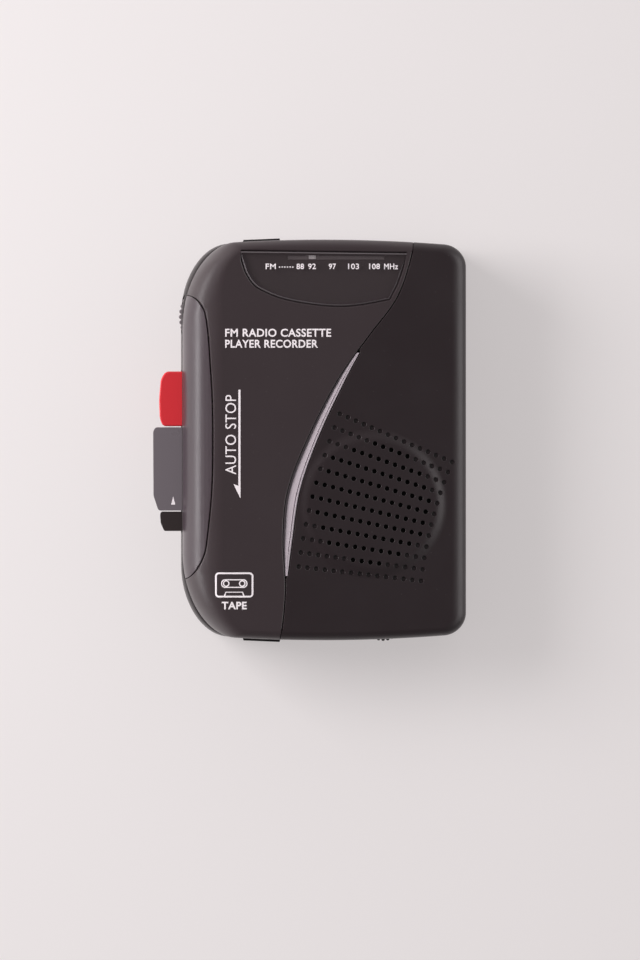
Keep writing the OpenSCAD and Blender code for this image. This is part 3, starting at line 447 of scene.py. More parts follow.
fascia = to_object("front_fascia_shell", shell_half(-1, lambda y: x_at(seam, y) - GAP / 2))
face_probe = bmesh.new()
face_probe.from_mesh(fascia.data)
face_tree = BVHTree.FromBMesh(face_probe)
face_probe.free()


def face_height(x, y):
    """Height of the fascia's surface over a point, in millimetres."""
    hit = face_tree.ray_cast(Vector((x * MM, y * MM, 0.06)), Vector((0, 0, -1)))[0]
    return hit.z / MM if hit else FRONT_Z - ROLL_H


def outset(outline, d):
    """A closed outline moved outwards by d. It runs anticlockwise."""
    moved = []
    for i, p in enumerate(outline):
        a, b = Vector(outline[i - 1]), Vector(outline[(i + 1) % len(outline)])
        run = (b - a).normalized()
        moved.append((p[0] + run.y * d, p[1] - run.x * d))
    return moved


def flat_levels(outline, steps):
    """Levels of an outline at (outset, height) steps."""
    return [[(x, y, z) for x, y in outset(outline, d)] for d, z in steps]


carve(fascia, inner_hollow(WALL))
window_edge = on_face(
    [(-23.6, 54.4), (-23.5, 51.6)]
    + through([(-22.5, 48.3), (-20.6, 45.2), (-17.9, 43), (-10.9, 40.2), (0.2, 38.4), (9.1, 38.4),
               (19.2, 40.2)], 6)
    + [(21.4, 44.5), (23, 49), (24, 53.8)])
WINDOW_T = 1.5
carve(fascia, stack(flat_levels(window_edge, [
    (-1.2, 30), (-1.2, FRONT_Z - WINDOW_T), (0.0, FRONT_Z - WINDOW_T + 0.001), (0.0, FRONT_Z - 0.45),
    (0.06, FRONT_Z - 0.25), (0.2, FRONT_Z - 0.08), (0.45, FRONT_Z + 0.02), (0.5, FRONT_Z + 1)])))
grip_edge = on_face(through([(-46, 42.5), (-38.2, 41.5), (-34.6, 38.2), (-33.2, 33), (-32.3, 22),
                             (-31.6, 8), (-31.7, -12), (-33, -27), (-34.4, -34), (-38.6, -39.6),
                             (-46, -41)], 8))
grip_outline = grip_edge[::-1]
CUT_ROOM = 2.0


def surface_levels(outline, steps):
    """A flat foot below the shell, levels at (outset, height over the fascia) steps, a flat lid."""
    foot = [(x, y, SEAM_Z - CUT_ROOM) for x, y in outset(outline, steps[0][0])]
    lid = [(x, y, FRONT_Z + 4 * CUT_ROOM) for x, y in outset(outline, steps[-1][0])]
    return [foot] + [[(x, y, face_height(max(x, LEFT + REVEAL + 0.1), y) + z)
                      for x, y in outset(outline, d)] for d, z in steps] + [lid]


carve(fascia, stack(surface_levels(grip_outline, [
    (0.0, -0.5), (0.08, -0.25), (0.4, 0.05), (0.42, 3)])))
dress(fascia, "housing", fascia_black, ["front_fascia"])

# Side grip: a separate lens-shaped moulding let into the rolled edge, where the fingers hold.
# It is the same plastic, clips in from inside, and has a fine groove round it. Its colour is painted
# a shade lighter and more violet: a painted highlight, the side light's sheen on the roll.
GRIP_T = 0.9
# Painted highlight: the lighter, more violet colour stands for the side light's sheen on the roll.
grip_painted_sheen = moulded_plastic("grip_painted_sheen", (0.050, 0.037, 0.044), 0.31)
grip = to_object("side_grip_shell", shell_half(-1, lambda y: x_at(seam, y) - GAP / 2))
carve(grip, stack(surface_levels(grip_outline, [
    (-0.2, -0.3), (-0.3, -0.1), (-0.55, 0.02), (-0.6, 2)])), "INTERSECT")
carve(grip, inner_hollow(GRIP_T))
dress(grip, "housing", grip_painted_sheen, ["side_grip"])

# Speaker panel: the right part of the front. A low round plateau swells over the speaker, with a
# fan of small drilled holes: open over the cone, blind where the fan runs past it.
SPEAKER = Vector((RIGHT - 26.8, 39.1 - END))
SPEAKER_R, GRILLE_SKIN = 18.0, 1.3
SWELL, SWELL_FLAT_R, SWELL_FOOT = 0.8, SPEAKER_R - 0.6, 4.6
SWELL_R, SWELL_ROOT = SWELL_FLAT_R + SWELL_FOOT, FRONT_Z - 0.9


def panel_border(y):
    """The panel's left edge: along the seam, and along the crescent trim where there is one."""
    x = x_at(seam, y) + GAP / 2
    if swoosh[-1][1] < y < swoosh[0][1]:
        x = max(x, x_at(swoosh, y) + GAP)
    return x


panel = to_object("speaker_panel_shell", shell_half(1, panel_border))
carve(panel, inner_hollow(WALL))


def swell_height(r):
    """How much the panel swells at r from the speaker's middle, with no kink at either end."""
    t = min(max((SWELL_R - r) / SWELL_FOOT, 0), 1)
    return SWELL * t * t * t * (t * (6 * t - 15) + 10)


swell = bmesh.new()
rim = [swell.verts.new((SPEAKER.x + r, SPEAKER.y, FRONT_Z + swell_height(r) - 0.004))
       for r in [0.0] + [SWELL_FLAT_R + SWELL_FOOT * i / 24 for i in range(25)]]
rim.append(swell.verts.new((SPEAKER.x + SWELL_R, SPEAKER.y, SWELL_ROOT)))
rim.append(swell.verts.new((SPEAKER.x, SPEAKER.y, SWELL_ROOT)))
rim_edges = [swell.edges.new(pair) for pair in zip(rim, rim[1:])]
bmesh.ops.spin(swell, geom=rim + rim_edges, cent=(*SPEAKER, 0), axis=(0, 0, 1),
               angle=2 * math.pi, steps=160, use_merge=True, use_duplicate=False)
bmesh.ops.remove_doubles(swell, verts=swell.verts, dist=0.0005)
bmesh.ops.recalc_face_normals(swell, faces=swell.faces)
swell_piece = to_object("swell", swell)
swell_left = [(x_at(swoosh, y) + 0.75, y) for y in range(-40, 26, 2)]
swell_right = RIGHT - EDGE_R - 0.3
carve(swell_piece, stack(flat_levels(
    swell_left + [(swell_right, 24), (swell_right, -50), (-8, -50)],
    [(0, FRONT_Z - 3), (0, FRONT_Z + 3)])), "INTERSECT")
swell_bm = bmesh.new()
swell_bm.from_mesh(swell_piece.data)
bmesh.ops.scale(swell_bm, vec=(1 / MM,) * 3, verts=swell_bm.verts)
bpy.data.objects.remove(swell_piece)
carve(panel, swell_bm, "UNION")

ROWS, HOLES_IN_ROW, HOLE_R, OPEN_R = 12, 15, 0.65, SPEAKER_R - 0.5
OPEN_DEPTH, BLIND_DEPTH = 3.0, 0.7
row_starts = [(-9.4, 25.8), (-16.7, 4.1), (-21.2, -18)]
row_ends = [(22.8, 12), (17.2, -4.4), (13.9, -22.1)]


def bend(points, t):
    """The place at share t on a parabola through three points."""
    shares = ((1 - t) * (1 - 2 * t), 4 * t * (1 - t), t * (2 * t - 1))
    return Vector([sum(p[k] * s for p, s in zip(points, shares)) for k in range(2)])


def drill_bit(depth):
    """A flat-ended drill with a small countersink, its tip below the origin."""
    bit = stack([[(r * math.cos(2 * math.pi * i / 20), r * math.sin(2 * math.pi * i / 20), z)
                  for i in range(20)]
                 for r, z in ((HOLE_R, -depth), (HOLE_R, -0.22), (HOLE_R + 0.05, -0.08),
                              (HOLE_R + 0.17, 0.02), (HOLE_R + 0.17, 0.6))])
    mesh = bpy.data.meshes.new("bit")
    bit.to_mesh(mesh)
    bit.free()
    return mesh


open_bit, blind_bit = drill_bit(OPEN_DEPTH), drill_bit(BLIND_DEPTH)
drills = bmesh.new()
for i in range(ROWS):
    first, last = bend(row_starts, i / (ROWS - 1)), bend(row_ends, i / (ROWS - 1))
    for j in range(HOLES_IN_ROW):
        at = first.lerp(last, j / (HOLES_IN_ROW - 1))
        before = len(drills.verts)
        drills.from_mesh(open_bit if at.length < OPEN_R else blind_bit)
        drills.verts.ensure_lookup_table()
        bmesh.ops.translate(drills, verts=drills.verts[before:],
                            vec=(*(SPEAKER + at), FRONT_Z + swell_height(at.length)))
CHAMBER_R, CHAMBER_STEPS = SPEAKER_R + 0.3, 72
chamber_turns = [2 * math.pi * i / CHAMBER_STEPS for i in range(CHAMBER_STEPS)]
chamber = stack(flat_levels(
    [(SPEAKER.x + CHAMBER_R * math.cos(t), SPEAKER.y + CHAMBER_R * math.sin(t)) for t in chamber_turns],
    [(0, FRONT_Z - 3), (0, FRONT_Z + SWELL - GRILLE_SKIN)]))
carve(panel, chamber)
carve(panel, drills)
BAY_Y, BAY_LOW, BAY_TOP, BAY_IN, BAY_OUT = 49.7, 15.6, 30.6, RIGHT - 3.8, RIGHT + 1.0


def block(x, y, z, rounding=0.0, segments=3):
    """A block between three pairs of limits, its edges rounded."""
    bm = bmesh.new()
    bmesh.ops.create_cube(bm, size=1, matrix=Matrix.Translation(
        [(a + b) / 2 for a, b in (x, y, z)]) @ Matrix.Diagonal([b - a for a, b in (x, y, z)] + [1]))
    if rounding:
        bmesh.ops.bevel(bm, geom=bm.edges[:], affect="EDGES", offset=rounding, segments=segments,
                        profile=0.5, material=-1)
    return bm


carve(panel, block((BAY_IN, BAY_OUT), (-BAY_Y, BAY_Y), (BAY_LOW, BAY_TOP)))
dress(panel, "housing", panel_black, ["speaker_panel"])

# Crescent trim: a separate half-gloss moulding between the fascia and the speaker panel. Its pale
# colour is a painted highlight, the side light's sheen on its slope. It slopes up from a ledge at the
# seam, and a groove parts off a thin bead along its right edge.
# Painted highlight: the pale colour stands for the side light's sheen on the black slope.
crescent_painted_sheen = moulded_plastic("crescent_painted_sheen", (0.41, 0.36, 0.395), 0.36, 0.15, 0.6, 0.2)
CRESCENT_DROP, CRESCENT_LEDGE, BEAD_W, GROOVE_W = 1.2, 0.55, 0.5, 0.25


def crescent_section(y):
    """The trim's outline at y, from its lower left corner over the top and down the right."""
    left, right = x_at(seam, y) + GAP / 2, x_at(swoosh, y)
    width = right - left
    part = min(1.0, width / 3)
    bead, groove = BEAD_W * min(1.0, width / 2), GROOVE_W * min(1.0, width / 2)
    low, foot = FRONT_Z - CRESCENT_DROP * part, right - bead - groove
    start = left + CRESCENT_LEDGE * part
    slope = [(start + (foot - start) * t, low + (FRONT_Z - 0.12 * part - low) * (t ** 0.8))
             for t in (0.0, 0.12, 0.25, 0.4, 0.55, 0.7, 0.85, 0.95)]
    bead_top = [(right - bead / 2 - bead / 2 * math.cos(math.radians(a)),
                 FRONT_Z - 0.2 * part + 0.2 * part * math.sin(math.radians(a)))
                for a in (10, 40, 65, 90, 115, 140, 170)]
    profile = ([(left, FRONT_Z - WALL), (left, low - 0.5 * part), (start, low - 0.5 * part)] + slope
               + [(foot, FRONT_Z - 0.25 * part), (foot + groove / 2, FRONT_Z - 0.5 * part)]
               + bead_top + [(right, FRONT_Z - 0.5 * part), (right, FRONT_Z - WALL)])
    return [(x, y, z) for x, z in profile]


crescent_top, crescent_low = swoosh[0][1], swoosh[-1][1]
CRESCENT_STEPS = 80
crescent = to_object("crescent_trim", stack(
    [crescent_section(crescent_top + (crescent_low - crescent_top) * i / CRESCENT_STEPS)
     for i in range(CRESCENT_STEPS + 1)]))
dress(crescent, "housing", crescent_painted_sheen, ["swoosh_trim"], sharp=40)

# Tuning dial: a smoked acrylic window let into the fascia, polished, with a bevelled edge. Behind
# it lies a black plate with a slot over a grey strip, and a white pointer moves along the slot.
DIAL_PLATE_TOP, DIAL_PLATE_T, SLOT_Y, SLOT_W = FRONT_Z - WALL, 0.8, 52.5, 1.5
SLOT_FROM, SLOT_TO = MIDDLE - 10.2, MIDDLE + 17.6
STRIP_TOP, STRIP_T = DIAL_PLATE_TOP - 0.2, 0.3

smoked_acrylic = bpy.data.materials.new("smoked_acrylic")
smoked_acrylic.use_nodes = True
smoke_tree = smoked_acrylic.node_tree
smoke = smoke_tree.nodes["Principled BSDF"]
smoke.inputs["Base Color"].default_value = (0.095, 0.074, 0.080, 1)
smoke.inputs["IOR"].default_value = 1.49
smoke_detail = smoke_tree.nodes.new("ShaderNodeGroup")
smoke_detail.node_tree = grain
smoke_detail.inputs["Smear"].default_value = 0.3
smoke_detail.inputs["Roughness"].default_value = 0.07
smoke_tree.links.new(smoke_detail.outputs["Roughness"], smoke.inputs["Roughness"])
smoke_edge = smoke_tree.nodes.new("ShaderNodeLayerWeight")
smoke_edge.inputs["Blend"].default_value = 0.15
smoke_veil = smoke_tree.nodes.new("ShaderNodeMapRange")
smoke_veil.inputs["To Min"].default_value = 0.20
smoke_veil.inputs["To Max"].default_value = 0.9
smoke_tree.links.new(smoke_edge.outputs["Facing"], smoke_veil.inputs["Value"])
smoke_tree.links.new(smoke_veil.outputs[0], smoke.inputs["Alpha"])


def ring_piece(levels):
    """A closed band through loops of equal length, the last joined back to the first."""
    bm = bmesh.new()
    loop = start_loop(bm, levels[0])
    for places in levels[1:] + levels[:1]:
        loop = raise_loop(bm, loop, places)
    bmesh.ops.remove_doubles(bm, verts=bm.verts, dist=0.0005)
    bmesh.ops.recalc_face_normals(bm, faces=bm.faces)
    return bm


lens = to_object("dial_window_lens", stack(flat_levels(window_edge, [
    (-0.26, FRONT_Z - WINDOW_T + 0.02), (-0.26, FRONT_Z - 0.45), (-0.34, FRONT_Z - 0.30),
    (-0.60, FRONT_Z - 0.02), (-0.70, FRONT_Z)])))
dress(lens, "housing", smoked_acrylic, ["dial_window"], sharp=25)
polished_edge = moulded_plastic("polished_edge", (0.12, 0.105, 0.112), 0.25, 0.05, 0.5, 0.1)
lens_edge = to_object("dial_window_edge", ring_piece(flat_levels(window_edge, [
    (-0.28, FRONT_Z - 0.40), (-0.33, FRONT_Z - 0.27), (-0.56, FRONT_Z - 0.01),
    (-0.64, FRONT_Z + 0.01), (-0.64, FRONT_Z - 0.40)])))
dress(lens_edge, "housing", polished_edge, sharp=40)

dial_black = moulded_plastic("dial_black", (0.040, 0.030, 0.032), 0.5, 0.2, 0.4, 0.3)
plate = to_object("dial_plate", stack(flat_levels(window_edge, [
    (0.5, DIAL_PLATE_TOP - DIAL_PLATE_T), (0.5, DIAL_PLATE_TOP - 0.02)])))
carve(plate, block((SLOT_FROM, SLOT_TO), (SLOT_Y - SLOT_W / 2, SLOT_Y + SLOT_W / 2),
                   (DIAL_PLATE_TOP - 3, DIAL_PLATE_TOP + 3)))
dress(plate, "housing", dial_black, ["dial_scale"])

slot_grey = moulded_plastic("slot_grey", (0.20, 0.172, 0.18), 0.5, 0.1, 0.4, 0.2)
slot_backing = to_object("slot_backing", block(
    (SLOT_FROM + 0.05, SLOT_TO - 0.05), (SLOT_Y - SLOT_W / 2 + 0.02, SLOT_Y + SLOT_W / 2 - 0.36),
    (STRIP_TOP - STRIP_T, STRIP_TOP), 0.02, 1))
dress(slot_backing, "housing", slot_grey)

# Printing: white screen ink, a few hundredths of a millimetre thick, on the dial window and on the
# fascia. The words and signs say only what each thing does.
ink_white = moulded_plastic("ink_white", (0.95, 0.89, 0.92), 0.5, 0.3, 0.4, 0.15)
INK_T, INK_SUNK = 0.03, 0.01
ROLL_CUTS, CUT_PITCH, CUT_FROM = 16, 0.5, LEFT + 8


def print_on(piece_name, bm, surface, shader=ink_white, body="housing"):
    """Flat faces in millimetres become a thin layer of ink, cut so that it follows the roll."""
    for i in range(ROLL_CUTS):
        bmesh.ops.bisect_plane(bm, geom=bm.verts[:] + bm.edges[:] + bm.faces[:],
                               plane_co=(CUT_FROM + CUT_PITCH * i, 0, 0), plane_no=(1, 0, 0))
    bmesh.ops.solidify(bm, geom=bm.faces[:], thickness=-INK_T)
    low = min(v.co.z for v in bm.verts)
    for v in bm.verts:
        v.co.z = surface(v.co.x, v.co.y) + (v.co.z - low) - INK_SUNK
    bmesh.ops.recalc_face_normals(bm, faces=bm.faces)
    return dress(to_object(piece_name, bm), body, shader)


def words(text, place, size, turn=0.0, weight=0.0):
    """Flat letters: place is their lower left corner, size their length and height."""
    curve = bpy.data.curves.new("letters", "FONT")
    curve.body = text
    curve.offset = weight
    curve.space_character = 1.06
    curve.resolution_u = 4
    maker = bpy.data.objects.new("letters", curve)
    bpy.context.collection.objects.link(maker)
    bpy.context.view_layer.update()
    mesh = bpy.data.meshes.new_from_object(
        maker.evaluated_get(bpy.context.evaluated_depsgraph_get()))
    bpy.data.objects.remove(maker)
    bpy.data.curves.remove(curve)
    bm = bmesh.new()
    bm.from_mesh(mesh)
    bpy.data.meshes.remove(mesh)
    bmesh.ops.remove_doubles(bm, verts=bm.verts, dist=0.0001)
    low = Vector([min(v.co[k] for v in bm.verts) for k in range(2)] + [0])
    high = Vector([max(v.co[k] for v in bm.verts) for k in range(2)] + [0])
    fit = Matrix.Diagonal((size[0] / (high.x - low.x), size[1] / (high.y - low.y), 1, 1))
    bmesh.ops.transform(bm, verts=bm.verts, matrix=Matrix.Translation((*place, 0))
                        @ Matrix.Rotation(math.radians(turn), 4, "Z") @ fit
                        @ Matrix.Translation(-low))
    return bm


def shape(*outlines):
    """Flat faces inside closed outlines."""
    bm = bmesh.new()
    for outline in outlines:
        bmesh.ops.edgeloop_fill(bm, edges=loop_edges(bm, start_loop(bm, [(*p, 0) for p in outline])))
    return bm


def joined(*sheets):
    """Several meshes as one. The first ones are used up."""
    bm = bmesh.new()
    for sheet in sheets:
        mesh = bpy.data.meshes.new("sheet")
        sheet.to_mesh(mesh)
        sheet.free()
        bm.from_mesh(mesh)
        bpy.data.meshes.remove(mesh)
    return bm


def disc(x, y, r, n=12):
    """A round outline."""
    return [(x + r * math.cos(2 * math.pi * i / n), y + r * math.sin(2 * math.pi * i / n))
            for i in range(n)]


def ring_outline(outline, width):
    """A closed band inside an outline, as short four-sided outlines."""
    inner = outset(outline, -width)
    return [[outline[i - 1], outline[i], inner[i], inner[i - 1]] for i in range(len(outline))]


DIAL_FOOT, DIAL_HIGH, DIAL_WEIGHT, DOT_PITCH = 48.95, 1.62, 0.018, 0.76
dial_words = [("FM", -12.5, -9.55), ("88", -3.65, -1.5), ("92", -0.3, 1.9), ("97", 5.6, 7.7),
              ("103", 11.15, 14.3), ("108", 17.2, 20.3), ("MHz", 21.45, 25.5)]
dial_print = [words(text, (a, DIAL_FOOT), (b - a, DIAL_HIGH), 0, DIAL_WEIGHT)
              for text, a, b in dial_words]
dial_print.append(shape(*[disc(-8.5 + DOT_PITCH * i, DIAL_FOOT + 0.62, 0.21) for i in range(6)]))
print_on("dial_printing", joined(*dial_print), lambda x, y: FRONT_Z)

LEGEND_X, LEGEND_HIGH, LEGEND_WEIGHT = -24.1, 2.35, 0.022
print_on("name_legend", joined(
    words("FM RADIO CASSETTE", (LEGEND_X, 29.55), (30.4, LEGEND_HIGH), 0, LEGEND_WEIGHT),
    words("PLAYER RECORDER", (LEGEND_X, 26.4), (26.6, LEGEND_HIGH), 0, LEGEND_WEIGHT)), face_height)
print_on("auto_stop_legend", joined(
    words("AUTO STOP", (-20.95, -9.9), (22.8, 3.1), 90),
    shape([(-20.3, 14.4), (-20.3, -13.2), (-21.75, -12.6), (-19.7, -16.8), (-19.7, 14.4)])),
    face_height)


def rounded(x, y, w, h, r, n=6):
    """An anticlockwise rounded rectangle about a centre."""
    corners = [(w / 2 - r, h / 2 - r, 0), (r - w / 2, h / 2 - r, 90),
               (r - w / 2, r - h / 2, 180), (w / 2 - r, r - h / 2, 270)]
    return [(x + cx + r * math.cos(math.radians(a + 90 * i / n)),
             y + cy + r * math.sin(math.radians(a + 90 * i / n)))
            for cx, cy, a in corners for i in range(n + 1)]


SIGN_X, SIGN_Y, HUB_X, HUB_Y = -21.5, -41.6, 2.3, 0.4
tape_sign = ring_outline(rounded(SIGN_X, SIGN_Y, 11.0, 7.2, 1.1), 0.5)
tape_sign += ring_outline(rounded(SIGN_X, SIGN_Y + HUB_Y, 7.6, 2.5, 1.2), 0.32)
for side in (-1, 1):
    tape_sign += ring_outline(disc(SIGN_X + side * HUB_X, SIGN_Y + HUB_Y, 0.95, 18), 0.34)
tape_sign.append([(SIGN_X - 3.0, SIGN_Y - 3.2), (SIGN_X - 2.5, SIGN_Y - 1.95),
                  (SIGN_X - 2.2, SIGN_Y - 1.95), (SIGN_X - 2.6, SIGN_Y - 3.2)])
tape_sign.append([(SIGN_X + 2.6, SIGN_Y - 3.2), (SIGN_X + 2.2, SIGN_Y - 1.95),
                  (SIGN_X + 2.5, SIGN_Y - 1.95), (SIGN_X + 3.0, SIGN_Y - 3.2)])
tape_sign.append([(SIGN_X - 2.4, SIGN_Y - 2.2), (SIGN_X + 2.4, SIGN_Y - 2.2),
                  (SIGN_X + 2.4, SIGN_Y - 1.95), (SIGN_X - 2.4, SIGN_Y - 1.95)])
print_on("tape_sign", joined(shape(*tape_sign), words(
    "TAPE", (SIGN_X - 3.6, SIGN_Y - 7.0), (7.2, 2.2), 0, 0.03)), face_height)

# Keys: glossy injection-moulded caps on steel levers, side by side in the cabinet's left edge. They
# are softly rounded, and the outer end tapers a little towards its lower corner.
KEY_LOW, KEY_HIGH, KEY_INNER = 14.5, 19.5, LEFT + 1.2
KEY_CORNER, KEY_RIM = 0.9, 0.5


def key_cap(name, node, body, low, high, out, tip, shader):
    """tip gives the outer end's corners, from the top down, as (inset, share of the length)."""
    edge = LEFT - out
    outline = ([(edge + inset, high - (high - low) * share) for inset, share in tip]
               + [(KEY_INNER, low), (KEY_INNER, high)])
    bm = stack([[(x, y, KEY_LOW) for x, y in outline], [(x, y, KEY_HIGH) for x, y in outline]])
    upright = [e for e in bm.edges if abs(e.verts[0].co.z - e.verts[1].co.z) > 1
               and e.verts[0].co.x < LEFT]
    bmesh.ops.bevel(bm, geom=upright, affect="EDGES", offset=KEY_CORNER, segments=6, profile=0.5,
                    material=-1, clamp_overlap=True)
    rims = [e for e in bm.edges if abs(e.verts[0].co.z - e.verts[1].co.z) < 0.01
            and min(v.co.x for v in e.verts) < KEY_INNER - 0.1]
    bmesh.ops.bevel(bm, geom=rims, affect="EDGES", offset=KEY_RIM, segments=5, profile=0.5,
                    material=-1, clamp_overlap=True)
    return dress(to_object(name, bm), body, shader, [node], sharp=50)


key_red = moulded_plastic("key_red", (0.66, 0.030, 0.040), 0.30, 0.1, 0.5, 0.12)
key_grey = moulded_plastic("key_grey", (0.155, 0.135, 0.150), 0.30, 0.1, 0.6, 0.2)
key_dark = moulded_plastic("key_dark", (0.030, 0.022, 0.022), 0.34, 0.15, 0.5, 0.2)
key_cap("record_key_cap", "record_key", "record", 4.0, 19.8, 6.3,
        [(1.9, 0.0), (0.5, 0.14), (0.0, 0.5), (0.2, 0.86), (1.1, 1.0)], key_red)
key_cap("play_key_cap", "play_key", "play", -20.3, 3.7, 8.0,
        [(0.7, 0.0), (0.0, 0.05), (0.1, 0.82), (1.2, 0.96), (1.6, 1.0)], key_grey)
key_cap("stop_key_cap", "stop_key", "stop", -26.2, -20.6, 6.0,
        [(0.3, 0.0), (0.0, 0.15), (0.2, 0.6), (1.2, 1.0)], key_dark)
print_on("play_mark", shape([(-39.8, -18.6), (-38.6, -18.6), (-39.2, -16.2)]),
         lambda x, y: KEY_HIGH, body="play")

# Rear cabinet and cassette door: the same black plastic as the front, sprayed a little darker. The
# cabinet's deck carries the works, and the door turns on a steel pin along the rear right edge.
cabinet_black = moulded_plastic("cabinet_black", (0.021, 0.016, 0.017), 0.42)
door_black = moulded_plastic("door_black", (0.016, 0.012, 0.013), 0.42)


def from_cad(name, node, body, shader, rounding=0.0, sharp=30):
    """A node's own shape, merged and smooth, with its crisp edges slightly rounded."""
    bm = bmesh.new()
    bm.from_mesh(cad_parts[node].data)
    bmesh.ops.scale(bm, vec=(1 / MM,) * 3, verts=bm.verts)
    bmesh.ops.remove_doubles(bm, verts=bm.verts, dist=0.002)
    bmesh.ops.dissolve_limit(bm, angle_limit=math.radians(0.6), verts=bm.verts, edges=bm.edges)
    if rounding:
        crisp = [e for e in bm.edges
                 if len(e.link_faces) == 2 and e.calc_face_angle(0) > math.radians(50)]
        bmesh.ops.bevel(bm, geom=crisp, affect="EDGES", offset=rounding, segments=2, profile=0.5,
                        material=-1, clamp_overlap=True)
    return dress(to_object(name, bm), body, shader, [node], sharp)


SHOULDER, SHOULDER_STEPS, CABINET_ROUND = 5.0, 8, (13.2, 20.4)
SHOULDER_TOP = SEAM_Z - 0.12


def cabinet_path(side):
    """Half of the cabinet's outline. It runs as edge_path does, point for point."""
    inner = edge_path(side, 0, False)
    if side > 0:
        return inner
    across, along = CABINET_ROUND
    first, middle = STRAIGHT_STEPS, STRAIGHT_STEPS + CORNER_STEPS
    path = []
    for i, place in enumerate(inner):
        if first <= i <= middle + CORNER_STEPS + 1:
            upper = i <= middle
            step = i - first if upper else i - first - 1
            t = math.radians(90 * step / CORNER_STEPS)
            x = LEFT + across - across * math.sin(t)
            y = (END - along if upper else along - END) + along * math.cos(t)
            place = (x, bowed(x, y))
        path.append(place)
    return path


cabinet = from_cad("cabinet_shell", "rear_cabinet", "housing", cabinet_black)
shoulder_foot = cabinet_path(1) + cabinet_path(-1)[::-1]
shoulder_top = edge_path(1, 0, False) + edge_path(-1, 0, False)[::-1]
shoulder = [[(x, y, -3) for x, y in shoulder_foot]]
for k in range(SHOULDER_STEPS + 1):
    t = math.pi / 2 * k / SHOULDER_STEPS
    share, height = 1 - math.cos(t), SHOULDER_TOP - SHOULDER * (1 - math.sin(t))
    shoulder.append([(a[0] + (b[0] - a[0]) * share, a[1] + (b[1] - a[1]) * share, height)
                     for a, b in zip(shoulder_foot, shoulder_top)])
shoulder += [[(x + 0.3 * (MIDDLE - x) / 40, y - 0.3 * y / 60, z) for x, y in shoulder_top]
             for z in (SHOULDER_TOP + 0.01, SEAM_Z + 4)]
carve(cabinet, stack(shoulder), "INTERSECT")
dress(cabinet, "housing", cabinet_black)
from_cad("door_shell", "cassette_door", "door", door_black)

clear_acrylic = bpy.data.materials.new("clear_acrylic")
clear_acrylic.use_nodes = True
clear_tree = clear_acrylic.node_tree
clear = clear_tree.nodes["Principled BSDF"]
clear.inputs["Base Color"].default_value = (0.74, 0.74, 0.76, 1)
clear.inputs["Transmission Weight"].default_value = 1.0
clear.inputs["IOR"].default_value = 1.49
clear_detail = clear_tree.nodes.new("ShaderNodeGroup")
clear_detail.node_tree = grain
clear_detail.inputs["Smear"].default_value = 0.3
clear_detail.inputs["Roughness"].default_value = 0.04
clear_tree.links.new(clear_detail.outputs["Roughness"], clear.inputs["Roughness"])
from_cad("door_pane", "door_window", "door", clear_acrylic, 0.12)

# Battery cover: a long black lid in the right side, over two cells in a row. It has a grip of fine
# ribs near its far end, and its lower edge is a rod that turns in the cabinet.
COVER_T, COVER_HALF, COVER_LOW, COVER_TOP = 1.4, 49.5, 15.9, 30.4
COVER_X = RIGHT - 0.3 - COVER_T / 2
cover = to_object("battery_lid_shell", block(
    (COVER_X - COVER_T / 2, COVER_X + COVER_T / 2), (-COVER_HALF, COVER_HALF),
    (COVER_LOW, COVER_TOP), 0.4, 4))
RIB_PITCH, RIB_SIDE, RIB_MIDDLE = 1.2, 0.3, COVER_HALF - 9.1
rib_places = [RIB_MIDDLE + i * RIB_PITCH for i in range(-3, 4)]
rib_bars = joined(*[block((COVER_X + COVER_T / 2 - 0.5, COVER_X + COVER_T / 2 + 0.24),
                          (y - RIB_SIDE, y + RIB_SIDE), (COVER_TOP - 8, COVER_TOP - 2.5), 0.2, 3)
                    for y in rib_places])
carve(cover, rib_bars, "UNION")
dress(cover, "battery_lid", cabinet_black, ["battery_cover"], sharp=35)

# Wheels and switch: moulded plastic with fine teeth for the thumb, grey on the tuning wheel and
# black on the others. The tuning wheel carries the dial cord's drum, the volume wheel sits on its
# control, and the knob slides in the end wall.
wheel_black = moulded_plastic("wheel_black", (0.022, 0.018, 0.019), 0.38, 0.15, 0.5, 0.35)
wheel_grey = moulded_plastic("wheel_grey", (0.17, 0.15, 0.16), 0.4)
WHEEL_LOW, WHEEL_HIGH, TOOTH_DEPTH, STEPS_PER_TOOTH = 16.0, 19.0, 0.55, 8


def turned(x, y, profile, steps=64):
    """A solid of revolution about an upright axis, from (radius, height) points."""
    turns = [2 * math.pi * i / steps for i in range(steps)]
    return stack([[(x + r * math.cos(t), y + r * math.sin(t), z) for t in turns] for r, z in profile])


def toothed(x, y, r, teeth):
    """A thumb wheel with rounded teeth and eased rims."""
    levels = []
    for inset, z in ((0.45, WHEEL_LOW), (0.12, WHEEL_LOW + 0.12), (0.0, WHEEL_LOW + 0.4),
                     (0.0, WHEEL_HIGH - 0.4), (0.12, WHEEL_HIGH - 0.12), (0.45, WHEEL_HIGH)):
        level = []
        for i in range(teeth * STEPS_PER_TOOTH):
            a = 2 * math.pi * i / (teeth * STEPS_PER_TOOTH)
            share = 0.5 + 0.5 * math.cos(a * teeth)
            out = r - inset - TOOTH_DEPTH * (1 - min(1.0, share * 1.7))
            level.append((x + out * math.cos(a), y + out * math.sin(a), z))
        levels.append(level)
    return stack(levels)


